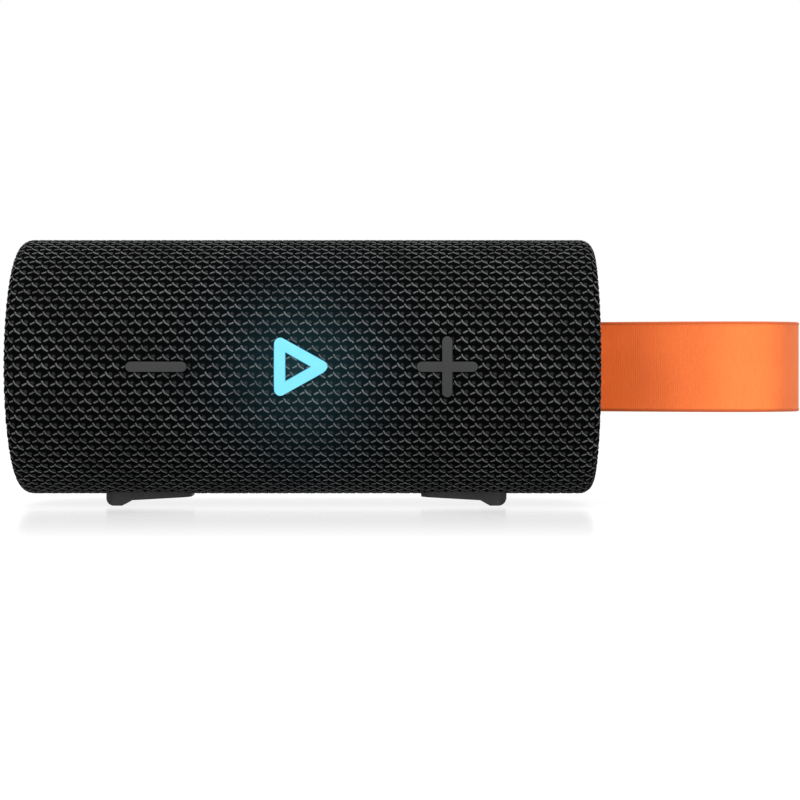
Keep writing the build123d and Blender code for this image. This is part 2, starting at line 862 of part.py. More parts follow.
with BuildPart() as power_key:
    add(rear_key(power_x))
    # engraved broken ring with a bar
    with BuildSketch(rear_plane(power_x, body_radius - icon_depth, panel_centre)):
        Circle(icon_radius)
        Circle(icon_radius - icon_line, mode=Mode.SUBTRACT)
        with Locations((0, icon_radius)):
            Rectangle(3 * icon_line, 2 * icon_radius, mode=Mode.SUBTRACT)
            SlotOverall(2 * icon_radius, icon_line, rotation=90)
    extrude(amount=2 * icon_depth, mode=Mode.SUBTRACT)

power_key.part.label = "power_key"
export_step(power_key.part, "parts/power_key.step")


with BuildPart() as pairing_key:
    add(rear_key(pairing_x))
    # engraved pair of dots joined by a short bar
    with BuildSketch(rear_plane(pairing_x, body_radius - icon_depth, panel_centre)):
        with GridLocations(2 * icon_radius, 0, 2, 1):
            Circle(icon_line)
        Rectangle(icon_radius, icon_line)
    extrude(amount=2 * icon_depth, mode=Mode.SUBTRACT)

pairing_key.part.label = "pairing_key"
export_step(pairing_key.part, "parts/pairing_key.step")


with BuildPart() as port_cover:
    with BuildSketch(rear_plane(usb_x, lid_seat + fit, usb_centre)):
        RectangleRounded(lid_width, lid_height, lid_corner)
    extrude(amount=body_radius)
    revolve(body_envelope(panel_radius), axis=body_axis, mode=Mode.INTERSECT)
    # finger rib along the top edge
    with BuildPart(mode=Mode.PRIVATE) as finger_rib:
        with BuildSketch(rear_plane(usb_x, lid_seat + fit, usb_centre + lid_height / 2 - lid_rib_height)):
            SlotOverall(lid_rib_width, lid_rib_height)
        extrude(amount=body_radius)
        revolve(body_envelope(body_radius + key_proud), axis=body_axis, mode=Mode.INTERSECT)
    add(finger_rib.part)
    # hinge knuckle and its web
    with BuildSketch(rear_plane(usb_x, hinge_y - hinge_radius / 2, hinge_height + hinge_below_lid)):
        Rectangle(hinge_length, 2 * hinge_below_lid)
    extrude(amount=hinge_radius)
    with BuildSketch(Plane(origin=(usb_x, hinge_y, axis_height + hinge_height), z_dir=(1, 0, 0))):
        Circle(hinge_radius)
    extrude(amount=hinge_length / 2, both=True)
    with BuildSketch(Plane(origin=(usb_x, hinge_y, axis_height + hinge_height), z_dir=(1, 0, 0))):
        Circle(hinge_pin_radius + fit)
    extrude(amount=hinge_length, both=True, mode=Mode.SUBTRACT)

port_cover.part.label = "port_cover"
export_step(port_cover.part, "parts/port_cover.step")


with BuildPart() as port_cover_pin:
    with BuildSketch(Plane(origin=(usb_x, hinge_y, axis_height + hinge_height), z_dir=(1, 0, 0))):
        Circle(hinge_pin_radius)
    extrude(amount=hinge_pin_length / 2, both=True)

port_cover_pin.part.label = "port_cover_pin"
export_step(port_cover_pin.part, "parts/port_cover_pin.step")

# ---------------------------------------------------------------- main board and its parts
board_post_x = (main_board_start + first_post_inset, main_board_end - last_post_inset)
board_post_y = main_board_half_depth - board_post_inset
main_board_x = (main_board_start + main_board_end) / 2
main_board_length = main_board_end - main_board_start
battery_connector_x = main_board_end - connector_inset
speaker_connector_x = main_board_start + speaker_connector_inset

with BuildPart() as main_board:
    with BuildSketch(level_plane(main_board_x, 0, main_board_bottom)):
        RectangleRounded(main_board_length, 2 * main_board_half_depth, key_flange_corner)
    extrude(amount=main_board_thickness)
    with BuildSketch(level_plane(0, 0, main_board_bottom)):
        for hole_x in board_post_x:
            with Locations((hole_x, board_post_y), (hole_x, -board_post_y)):
                Circle(small_screw_radius + fit)
    extrude(amount=main_board_thickness, mode=Mode.SUBTRACT)

main_board.part.label = "main_board"
export_step(main_board.part, "parts/main_board.step")


with BuildPart() as board_screws:
    for hole_x in board_post_x:
        for hole_y in (-board_post_y, board_post_y):
            add(
                screw(
                    level_plane(hole_x, hole_y, main_board_top),
                    small_screw_radius,
                    2 * small_screw_length,
                    small_screw_head_radius,
                    small_screw_head_height,
                )
            )

board_screws.part.label = "board_screws"
export_step(board_screws.part, "parts/board_screws.step")

# name: (x, y, length, depth, height) of each block soldered on the board
board_blocks = {
    "radio_module": (main_board_x + radio_offset, chip_row_y, radio_length, radio_depth, radio_height),
    "amplifier_chip": (
        main_board_x + amplifier_offset,
        chip_row_y,
        amplifier_side,
        amplifier_side,
        chip_height,
    ),
    "power_chip": (
        main_board_x + power_chip_offset,
        chip_row_y,
        power_chip_side,
        power_chip_side,
        chip_height,
    ),
    "speaker_connector": (
        speaker_connector_x + speaker_connector_length / 2,
        lead_row_y,
        speaker_connector_length,
        connector_depth,
        connector_height,
    ),
    "battery_connector": (
        battery_connector_x - battery_connector_length / 2,
        lead_row_y,
        battery_connector_length,
        connector_depth,
        connector_height,
    ),
}

for block_name, (x, y, length, depth, height) in board_blocks.items():
    with BuildPart() as block:
        with BuildSketch(level_plane(x, y, main_board_top)):
            Rectangle(length, depth)
        extrude(amount=height)
        chamfer(block.edges().filter_by(Axis.Z), height / 6)
    block.part.label = block_name
    export_step(block.part, f"parts/{block_name}.step")


with BuildPart() as capacitors:
    with BuildSketch(level_plane(main_board_x + capacitor_offset, part_row_y, main_board_top)):
        with GridLocations(capacitor_pitch, 0, 2, 1):
            Circle(capacitor_radius)
    extrude(amount=capacitor_height)
    fillet(capacitors.edges().group_by(Axis.Z)[-1], capacitor_edge)

capacitors.part.label = "capacitors"
export_step(capacitors.part, "parts/capacitors.step")


usb_mouth = panel_back + well_floor - part_gap / 2

with BuildPart() as usb_socket:
    with BuildSketch(rear_plane(usb_x, usb_mouth, usb_centre)):
        SlotOverall(usb_width, usb_height)
    extrude(amount=-usb_length)
    with BuildSketch(rear_plane(usb_x, usb_mouth, usb_centre)):
        SlotOverall(usb_width - 2 * usb_skin, usb_height - 2 * usb_skin)
    extrude(amount=-usb_mouth_depth, mode=Mode.SUBTRACT)
    with BuildSketch(rear_plane(usb_x, usb_mouth - usb_mouth_depth, usb_centre)):
        Rectangle(usb_tongue_width, usb_tongue_height)
    extrude(amount=usb_tongue_length)

usb_socket.part.label = "usb_socket"
export_step(usb_socket.part, "parts/usb_socket.step")


with BuildPart() as rear_switches:
    for key_x in (power_x, pairing_x):
        with BuildSketch(level_plane(key_x, rear_switch_front - rear_switch_depth / 2, main_board_top)):
            Rectangle(rear_switch_width, rear_switch_depth - 2 * fit)
        extrude(amount=rear_switch_height)
        with BuildSketch(rear_plane(key_x, rear_switch_front - fit, panel_centre)):
            Circle(rear_key_nub_radius / 2)
        extrude(amount=fit)

rear_switches.part.label = "rear_switches"
export_step(rear_switches.part, "parts/rear_switches.step")


with BuildPart() as board_link:
    with BuildSketch(front_plane(post_x + link_offset, main_board_half_depth)):
        with Locations((0, main_board_bottom + main_board_thickness / 2)):
            Rectangle(2 * post_radius, 2 * main_board_thickness)
    extrude(amount=key_board_back - main_board_half_depth)

board_link.part.label = "board_link"
export_step(board_link.part, "parts/board_link.step")

# ---------------------------------------------------------------- battery and its cradle
cradle_start = battery_start + cradle_end_gap
cradle_end = battery_end - cradle_end_gap
cradle_top = battery_centre + cradle_grip
cradle_half_depth = board_post_y + post_radius
cradle_radius = bore_radius - part_gap
battery_plane = end_plane(battery_start)

with BuildPart() as battery_cell:
    with BuildSketch(battery_plane):
        with Locations((0, battery_centre)):
            Circle(battery_radius)
    extrude(amount=battery_length)
    fillet(battery_cell.edges().filter_by(GeomType.CIRCLE), battery_edge)

battery_cell.part.label = "battery_cell"
export_step(battery_cell.part, "parts/battery_cell.step")


with BuildPart() as battery_cradle:
    with BuildSketch(end_plane(cradle_start)):
        with Locations((0, (cradle_top - bore_radius) / 2)):
            Rectangle(2 * cradle_half_depth, cradle_top + bore_radius)
    extrude(amount=cradle_end - cradle_start)
    revolve(body_envelope(cradle_radius), axis=body_axis, mode=Mode.INTERSECT)
    with BuildSketch(battery_plane):
        with Locations((0, battery_centre)):
            Circle(battery_radius + fit)
    extrude(amount=battery_length, mode=Mode.SUBTRACT)
    # posts that carry the main board
    with BuildSketch(level_plane(0, 0, cradle_top - post_radius)):
        for hole_x in board_post_x:
            with Locations((hole_x, board_post_y), (hole_x, -board_post_y)):
                Circle(post_radius)
    extrude(amount=main_board_bottom - cradle_top + post_radius)
    with BuildSketch(level_plane(0, 0, main_board_bottom)):
        for hole_x in board_post_x:
            with Locations((hole_x, board_post_y), (hole_x, -board_post_y)):
                Circle(small_screw_radius + fit)
    extrude(amount=-2 * small_screw_length, mode=Mode.SUBTRACT)

battery_cradle.part.label = "battery_cradle"
export_step(battery_cradle.part, "parts/battery_cradle.step")

# ---------------------------------------------------------------- leads
battery_lead_x = battery_end + battery_lead_run
battery_lead_z = axis_height + battery_centre + battery_lead_rise
lead_z = axis_height + main_board_top + connector_height / 2
flange_lead_x = driver_x + basket_top_radius + lead_diameter

with BuildPart() as battery_leads:
    for y in (lead_row_y - lead_spread / 2, lead_row_y + lead_spread / 2):
        add(
            lead(
                [
                    (battery_end, y, battery_lead_z),
                    (battery_lead_x, y, battery_lead_z),
                    (battery_lead_x, y, lead_z),
                    (battery_connector_x, y, lead_z),
                ]
            )
        )

battery_leads.part.label = "battery_leads"
export_step(battery_leads.part, "parts/battery_leads.step")


with BuildPart() as speaker_leads:
    for y in (lead_row_y - lead_spread / 2, lead_row_y + lead_spread / 2):
        add(
            lead(
                [
                    (flange_lead_x, y, axis_height + flange_bottom),
                    (flange_lead_x, y, axis_height + flange_bottom - speaker_lead_drop),
                    (speaker_connector_x - speaker_lead_run, y, lead_z),
                    (speaker_connector_x, y, lead_z),
                ]
            )
        )

speaker_leads.part.label = "speaker_leads"
export_step(speaker_leads.part, "parts/speaker_leads.step")


# ---------------------------------------------------------------- ends
def o_ring_groove(plane):
    """Section of the seal ring in the rim of an end part's flange."""
    middle = (cap_flange_inner + cap_flange_outer) / 2
    return band(
        plane,
        bore_radius - part_gap - o_ring_depth,
        bore_radius,
        middle - o_ring_width / 2,
        middle + o_ring_width / 2,
    )


for side_name, side_plane in (("left", left_end_plane), ("right", right_end_plane)):
    with BuildPart() as end_seal:
        revolve(o_ring_groove(side_plane), axis=body_axis)
    end_seal.part.label = f"{side_name}_end_seal"
    export_step(end_seal.part, f"parts/{side_name}_end_seal.step")

    with BuildPart() as trim_ring:
        with BuildSketch(side_plane) as ring_section:
            ring_face = half_length - trim_ring_recess
            with Locations((ring_outer_radius - trim_ring_width / 2, (ring_face + cap_flange_outer) / 2)):
                Rectangle(trim_ring_width, ring_face - cap_flange_outer)
            fillet(ring_section.vertices().group_by(Axis.Y)[-1], trim_ring_rounding)
        revolve(axis=body_axis)
    trim_ring.part.label = f"{side_name}_trim_ring"
    export_step(trim_ring.part, f"parts/{side_name}_trim_ring.step")


frame_inner_radius = cap_radius - radiator_wall
ledge_inner_radius = frame_inner_radius - radiator_ledge_width
ledge_face = (
    half_length
    - trim_ring_recess
    - radiator_sink
    - radiator_travel
    - radiator_plate_thickness
    - radiator_skin
    - fit
)
roll_outer_radius = ledge_inner_radius - fit
radiator_roll_centre = roll_outer_radius - radiator_roll
radiator_plate_radius = radiator_roll_centre - radiator_roll - radiator_skin
radiator_neck_radius = radiator_plate_radius - radiator_landing

with BuildPart() as radiator_frame:
    revolve(
        band(left_end_plane, frame_inner_radius, cap_radius, cap_flange_inner, cap_face),
        axis=body_axis,
    )
    revolve(
        band(
            left_end_plane,
            frame_inner_radius,
            bore_radius - part_gap,
            cap_flange_inner,
            cap_flange_outer,
        ),
        axis=body_axis,
    )
    revolve(
        band(
            left_end_plane,
            ledge_inner_radius,
            frame_inner_radius + fit,
            ledge_face - radiator_ledge_thickness,
            ledge_face,
        ),
        axis=body_axis,
    )
    revolve(o_ring_groove(left_end_plane), axis=body_axis, mode=Mode.SUBTRACT)

radiator_frame.part.label = "radiator_frame"
export_step(radiator_frame.part, "parts/radiator_frame.step")


with BuildPart() as radiator_surround:
    revolve(
        half_roll(
            left_end_plane,
            radiator_roll_centre,
            ledge_face,
            radiator_roll,
            radiator_skin,
            radiator_neck_radius + fit,
            frame_inner_radius - fit,
        ),
        axis=body_axis,
    )

radiator_surround.part.label = "radiator_surround"
export_step(radiator_surround.part, "parts/radiator_surround.step")


plate_seat = ledge_face + radiator_skin + fit

with BuildPart() as radiator_plate:
    revolve(
        band(left_end_plane, 0, radiator_plate_radius, plate_seat, plate_seat + radiator_plate_thickness),
        axis=body_axis,
    )
    revolve(
        band(
            left_end_plane,
            0,
            radiator_neck_radius,
            plate_seat - radiator_weight_thickness,
            plate_seat,
        ),
        axis=body_axis,
    )
    # shallow dish in the outer face
    revolve(
        band(
            left_end_plane,
            0,
            radiator_plate_radius - radiator_dish_rim,
            plate_seat + radiator_plate_thickness - radiator_dish_depth,
            plate_seat + radiator_plate_thickness,
        ),
        axis=body_axis,
        mode=Mode.SUBTRACT,
    )

radiator_plate.part.label = "radiator_plate"
export_step(radiator_plate.part, "parts/radiator_plate.step")


with BuildPart() as strap_cap:
    revolve(band(right_end_plane, 0, cap_radius, cap_flange_inner, cap_face), axis=body_axis)
    revolve(
        band(right_end_plane, 0, bore_radius - part_gap, cap_flange_inner, cap_flange_outer),
        axis=body_axis,
    )
    revolve(o_ring_groove(right_end_plane), axis=body_axis, mode=Mode.SUBTRACT)
    # block around the strap's pocket
    with BuildSketch(end_plane(pocket_bottom - pocket_block_wall)):
        RectangleRounded(
            2 * (pocket_half_depth + pocket_block_wall),
            2 * pocket_block_half,
            pocket_corner,
        )
    extrude(amount=cap_flange_outer - pocket_bottom + pocket_block_wall)
    with BuildSketch(end_plane(pocket_bottom)):
        RectangleRounded(2 * pocket_half_depth, 2 * pocket_half_height, pocket_corner)
    extrude(amount=pocket_bottom_depth, mode=Mode.SUBTRACT)
    # bore of the strap pin, open at the top of the flange
    with BuildSketch(level_plane(strap_pin_x, 0, -pocket_block_half)):
        Circle(strap_pin_radius + fit / 2)
    extrude(amount=pocket_block_half + bore_radius, mode=Mode.SUBTRACT)

strap_cap.part.label = "strap_cap"
export_step(strap_cap.part, "parts/strap_cap.step")


with BuildPart() as strap_pin:
    with BuildSketch(level_plane(strap_pin_x, 0, -pocket_block_half)):
        Circle(strap_pin_radius)
    extrude(amount=2 * pocket_block_half)

strap_pin.part.label = "strap_pin"
export_step(strap_pin.part, "parts/strap_pin.step")


strap_eye_radius = strap_pin_radius + fit + strap_thickness
strap_neck_half = strap_thickness + strap_seam / 2
neck_end_x = half_length + strap_neck_out
tip_x = half_length + strap_reach
widest_x = half_length + strap_widest

# The bow's side is a straight run, a long side arc, a shoulder arc and the tip's arc, all tangent
side_drop = strap_side_radius - strap_half_spread
shoulder_drop = strap_shoulder_radius - strap_half_spread
tip_run = tip_x - widest_x
strap_tip_radius = (strap_shoulder_radius**2 - tip_run**2 - shoulder_drop**2) / (
    2 * (strap_shoulder_radius - tip_run)
)
shoulder_angle = degrees(atan2(shoulder_drop, tip_run - strap_tip_radius))
neck_offset = Vector(neck_end_x - widest_x, strap_neck_half + side_drop)
side_angle = degrees(
    atan2(neck_offset.Y, neck_offset.X) - acos(strap_side_radius / neck_offset.length)
)


def strap_bow(inset):
    """Closed outline of the strap's bow in plan, a distance inside its outer face."""
    side_end = Vector(
        widest_x + (strap_side_radius - inset) * cos(radians(side_angle)),
        (strap_side_radius - inset) * sin(radians(side_angle)) - side_drop,
    )
    crotch_x = side_end.X - side_end.Y * tan(radians(180 - side_angle))
    with BuildSketch(level_plane(0, 0, -strap_width / 2)) as outline:
        with BuildLine():
            for side in (-1, 1):
                CenterArc(
                    (widest_x, -side * side_drop),
                    strap_side_radius - inset,
                    side * 90,
                    side * (side_angle - 90),
                )
                CenterArc(
                    (widest_x, -side * shoulder_drop),
                    strap_shoulder_radius - inset,
                    side * 90,
                    side * (shoulder_angle - 90),
                )
                Line((side_end.X, side * side_end.Y), (crotch_x, 0))
            CenterArc(
                (tip_x - strap_tip_radius, 0),
                strap_tip_radius - inset,
                -shoulder_angle,
                2 * shoulder_angle,
            )
        make_face()
    return outline.sketch


with BuildPart() as strap_loop:
    extrude(strap_bow(0), amount=strap_width)
    extrude(strap_bow(strap_thickness), amount=strap_width, mode=Mode.SUBTRACT)
    # sewn neck and the eye round the pin
    with BuildSketch(level_plane(0, 0, -strap_width / 2)):
        with Locations(((strap_pin_x + neck_end_x) / 2, 0)):
            Rectangle(neck_end_x - strap_pin_x, 2 * strap_neck_half)
        with Locations((strap_pin_x, 0)):
            Circle(strap_eye_radius)
    extrude(amount=strap_width)
    with BuildSketch(level_plane(0, 0, -strap_width / 2)):
        with Locations((strap_pin_x, 0)):
            Circle(strap_pin_radius + fit)
    extrude(amount=strap_width, mode=Mode.SUBTRACT)

strap_loop.part.label = "strap_loop"
export_step(strap_loop.part, "parts/strap_loop.step")

# ---------------------------------------------------------------- driver
with BuildPart() as driver_baffle:
    with BuildSketch(level_plane(driver_x, 0, baffle_bottom)):
        Rectangle(2 * baffle_half_length, 2 * baffle_half_depth)
        Circle(surround_edge_radius + part_gap, mode=Mode.SUBTRACT)
        with PolarLocations(driver_screw_circle, 4, start_angle=45):
            Circle(small_screw_radius + fit, mode=Mode.SUBTRACT)
    extrude(amount=baffle_thickness)

driver_baffle.part.label = "driver_baffle"
export_step(driver_baffle.part, "parts/driver_baffle.step")


with BuildPart() as driver_gasket:
    with BuildSketch(level_plane(driver_x, 0, driver_seat)):
        Circle(driver_radius)
        Circle(surround_edge_radius + part_gap, mode=Mode.SUBTRACT)
        with PolarLocations(driver_screw_circle, 4, start_angle=45):
            Circle(small_screw_radius + fit, mode=Mode.SUBTRACT)
    extrude(amount=gasket_thickness)

driver_gasket.part.label = "driver_gasket"
export_step(driver_gasket.part, "parts/driver_gasket.step")


flange_inner_radius = roll_centre_radius + roll_radius - fit

with BuildPart() as driver_basket:
    with BuildSketch(driver_plane):
        with BuildLine():
            Polyline(
                (flange_inner_radius, driver_seat),
                (driver_radius, driver_seat),
                (driver_radius, flange_bottom),
                (basket_top_radius, flange_bottom),
                (basket_foot_radius, basket_bottom),
                (gap_radius + 2 * basket_skin, basket_bottom),
                (gap_radius + 2 * basket_skin, basket_bottom + basket_skin),
                (spider_radius - 2 * basket_skin, basket_bottom + basket_skin),
                (spider_radius - 2 * basket_skin, spider_seat),
                (spider_radius, spider_seat),
                (basket_top_radius - basket_skin, flange_bottom + basket_skin / 3),
                (flange_inner_radius, flange_bottom + basket_skin / 3),
                close=True,
            )
        make_face()
    revolve(axis=driver_axis)
    # four windows between the arms
    with BuildSketch(level_plane(driver_x, 0, spider_seat + 2 * basket_skin)):
        with PolarLocations(driver_radius, 4):
            Rectangle(driver_radius, window_width)
    extrude(amount=flange_bottom - spider_seat - 3 * basket_skin, mode=Mode.SUBTRACT)
    with BuildSketch(level_plane(driver_x, 0, flange_bottom)):
        with PolarLocations(driver_screw_circle, 4, start_angle=45):
            Circle(small_screw_radius + fit)
    extrude(amount=flange_thickness, mode=Mode.SUBTRACT)

driver_basket.part.label = "driver_basket"
export_step(driver_basket.part, "parts/driver_basket.step")


with BuildPart() as driver_top_plate:
    revolve(band(driver_plane, gap_radius, plate_radius, plate_bottom, basket_bottom), axis=driver_axis)

driver_top_plate.part.label = "driver_top_plate"
export_step(driver_top_plate.part, "parts/driver_top_plate.step")


with BuildPart() as driver_magnet:
    revolve(
        band(driver_plane, gap_radius + basket_skin, magnet_radius, magnet_bottom, plate_bottom),
        axis=driver_axis,
    )

driver_magnet.part.label = "driver_magnet"
export_step(driver_magnet.part, "parts/driver_magnet.step")


with BuildPart() as driver_yoke:
    revolve(band(driver_plane, 0, plate_radius, yoke_bottom, magnet_bottom), axis=driver_axis)
    revolve(band(driver_plane, 0, pole_radius, magnet_bottom, basket_bottom), axis=driver_axis)

driver_yoke.part.label = "driver_yoke"
export_step(driver_yoke.part, "parts/driver_yoke.step")


coil_bottom = magnet_bottom + driver_travel + part_gap
coil_top = spider_seat + coil_above_spider
cone_rim = driver_seat - cone_skin - fit

with BuildPart() as voice_coil:
    revolve(
        band(driver_plane, coil_inner_radius, coil_outer_radius, coil_bottom, coil_top),
        axis=driver_axis,
    )

voice_coil.part.label = "voice_coil"
export_step(voice_coil.part, "parts/voice_coil.step")


with BuildPart() as cone:
    with BuildSketch(driver_plane):
        with BuildLine():
            Polyline(
                (coil_outer_radius, coil_top - 2 * cone_skin),
                (cone_radius, cone_rim),
                (cone_radius, cone_rim + cone_skin),
                (cone_radius - cone_skin, cone_rim + cone_skin),
                (coil_outer_radius, coil_top - cone_skin / 2),
                close=True,
            )
        make_face()
    revolve(axis=driver_axis)

cone.part.label = "cone"
export_step(cone.part, "parts/cone.step")


with BuildPart() as dust_cap:
    with BuildSketch(driver_plane):
        with BuildLine():
            crown = RadiusArc(
                (0, coil_top + dust_cap_rise), (coil_outer_radius, coil_top), -1.2 * coil_outer_radius
            )
            inner_crown = RadiusArc(
                (0, coil_top + dust_cap_rise - cone_skin),
                (coil_inner_radius, coil_top),
                -1.2 * coil_inner_radius,
            )
            Line(crown @ 1, inner_crown @ 1)
            Line(inner_crown @ 0, crown @ 0)
        make_face()
    revolve(axis=driver_axis)

dust_cap.part.label = "dust_cap"
export_step(dust_cap.part, "parts/dust_cap.step")


with BuildPart() as cone_surround:
    revolve(
        half_roll(
            driver_plane,
            roll_centre_radius,
            driver_seat,
            roll_radius,
            surround_skin,
            cone_radius - 2 * cone_skin,
            surround_edge_radius,
        ),
        axis=driver_axis,
    )

cone_surround.part.label = "cone_surround"
export_step(cone_surround.part, "parts/cone_surround.step")


spider_step = (spider_radius - part_gap - coil_outer_radius) / spider_folds
spider_crest = [
    (coil_outer_radius + i * spider_step, spider_seat + spider_rise * (i % 2))
    for i in range(spider_folds + 1)
]

with BuildPart() as spider:
    with BuildSketch(driver_plane):
        with BuildLine():
            Polyline(
                *spider_crest,
                *[(radius, height + cone_skin) for radius, height in reversed(spider_crest)],
                close=True,
            )
        make_face()
    revolve(axis=driver_axis)

spider.part.label = "spider"
export_step(spider.part, "parts/spider.step")


with BuildPart() as driver_screws:
    with PolarLocations(driver_screw_circle, 4, start_angle=45) as corners:
        screw_spots = [spot.position for spot in corners.local_locations]
    for spot in screw_spots:
        add(
            screw(
                level_plane(driver_x + spot.X, spot.Y, baffle_top),
                small_screw_radius,
                baffle_thickness + gasket_thickness + flange_thickness,
                small_screw_head_radius,
                small_screw_head_height,
            )
        )

driver_screws.part.label = "driver_screws"
export_step(driver_screws.part, "parts/driver_screws.step")
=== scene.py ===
"""Looks of the small cylinder speaker: knitted cover, webbing strap, surrounds in sectors, lit
play symbol and procedural materials.

Frame: +X along the body towards the strap, +Y to the rear, +Z up, in metres.
"""

import json
import math

import bmesh
import bpy
import numpy as np
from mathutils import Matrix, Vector
from mathutils.geometry import delaunay_2d_cdt


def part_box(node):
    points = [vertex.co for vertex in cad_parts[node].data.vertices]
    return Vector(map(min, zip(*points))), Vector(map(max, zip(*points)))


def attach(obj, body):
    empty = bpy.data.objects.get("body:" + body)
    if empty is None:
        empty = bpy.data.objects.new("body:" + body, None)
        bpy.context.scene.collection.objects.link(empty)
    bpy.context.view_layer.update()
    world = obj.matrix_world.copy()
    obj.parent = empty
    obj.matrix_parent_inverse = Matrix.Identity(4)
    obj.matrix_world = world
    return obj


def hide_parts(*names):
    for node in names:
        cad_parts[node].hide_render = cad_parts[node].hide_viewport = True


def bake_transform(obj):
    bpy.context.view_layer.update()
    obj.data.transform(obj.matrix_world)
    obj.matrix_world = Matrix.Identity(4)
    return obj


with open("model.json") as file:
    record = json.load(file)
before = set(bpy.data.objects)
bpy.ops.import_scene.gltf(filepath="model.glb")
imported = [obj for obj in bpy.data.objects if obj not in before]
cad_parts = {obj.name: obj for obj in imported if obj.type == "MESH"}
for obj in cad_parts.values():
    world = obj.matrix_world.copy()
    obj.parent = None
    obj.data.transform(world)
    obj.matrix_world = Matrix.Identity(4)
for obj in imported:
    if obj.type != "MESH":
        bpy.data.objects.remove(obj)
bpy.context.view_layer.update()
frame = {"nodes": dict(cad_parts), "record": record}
MM = 0.001

# ------------------------------------------------------------------ sizes, in millimetres
sleeve_low, sleeve_high = (np.array(c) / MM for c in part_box("cloth_sleeve"))
BODY_RADIUS = (sleeve_high[2] - sleeve_low[2]) / 2
AXIS_HEIGHT = (sleeve_high[2] + sleeve_low[2]) / 2
HALF_LENGTH = (sleeve_high[0] - sleeve_low[0]) / 2
END_ROUNDING = 2.5
HEM_RADIUS = 19.6
CLOTH_DEPTH = 0.62
RELIEF = 0.17
STITCH_WIDTH = 2.5
ROWS = 94
TURN = 2 * math.pi * BODY_RADIUS
STITCH_HEIGHT = TURN / ROWS
MERIDIAN = (
    2 * (HALF_LENGTH - END_ROUNDING)
    + math.pi * END_ROUNDING
    + 2 * (BODY_RADIUS - END_ROUNDING - HEM_RADIUS)
)

# stitch of the knit, in millimetres from the lower left corner of its cell
DASH = ((0.24, 0.60), (0.88, 0.92))
CRESCENT = ((1.14, 1.34), (1.42, 0.84), (2.08, 0.40))
KNOT = (1.92, 1.02)
YARN_HALF = 0.29
YARN_FOOT = 0.12
YARN_WOBBLE = 0.16
KNOT_HEIGHT = 0.42
KNOT_SPREAD, KNOT_WEIGHT = (0.52, 0.10), 0.32
# knit colours: the crest grey is partly the yarn's own and partly a painted highlight; the
# near-black recess colour is painted shade
RECESS_SHADE = (0.0014, 0.00145, 0.0015)
LOOP_COLOUR = (0.0215, 0.0220, 0.0225)
CREST_GREY_AND_HIGHLIGHT = (0.112, 0.114, 0.116)
HALO_RADIUS = 11.5
HALO_IN_RECESS = (0.0055, 0.021, 0.026)
HALO_ON_CREST = (0.020, 0.060, 0.070)

# openings of the cover
FACING = 0.3
RIM_REACH = 1.1
RIM_HEIGHT = 0.55
PATCH_REACH = 0.06
PANEL_GAP, PANEL_FLANGE, FOOT_HALF = 0.2, 1.2, (4.7, 3.2)

# symbols
SYMBOL_SIZE = 10.7
SYMBOL_BAR = 1.78
KEY_GAP = 0.12
MINUS_X = -25.6
PLUS_X = 25.5
PLAY_BACK, PLAY_TIP, PLAY_HEIGHT, PLAY_CORNER, PLAY_LINE = -4.84, 4.38, 10.2, 1.0, 1.8

# strap, from its own outline
STRAP_WIDEST_X = 78.8
STRAP_SIDE_RADIUS, STRAP_SIDE_DROP, STRAP_SIDE_ANGLE = 35.0, 26.4, 111.1748
STRAP_SHOULDER_RADIUS, STRAP_SHOULDER_DROP, STRAP_SHOULDER_ANGLE = 14.0, 5.4, 34.9495
STRAP_TIP_CENTRE, STRAP_TIP_RADIUS = 86.5265, 4.5735
STRAP_PIN_X, STRAP_EYE_RADIUS, STRAP_NECK_END = 49.0, 1.3, 53.8
STRAP_WIDTH, STRAP_THICKNESS = 16.5, 1.4
STRAP_RIB, STRAP_END_PITCH, STRAP_BEAD = 0.36, 0.5, 0.75
BEAD_RISE, RIB_DEPTH = 0.09, 0.05

# surrounds: radius to the middle of the half roll, its radius and its skin
RADIATOR_ROLL = (14.3, 1.3, 0.35)
DRIVER_ROLL = (11.05, 0.92, 0.3)
LAND_EDGE = 0.08
SECTORS, SECTOR_STEPS, ROLL_STEPS = 16, 6, 18

# a wave texture's scale for one band per millimetre
WAVE_PER_MM = 0.314


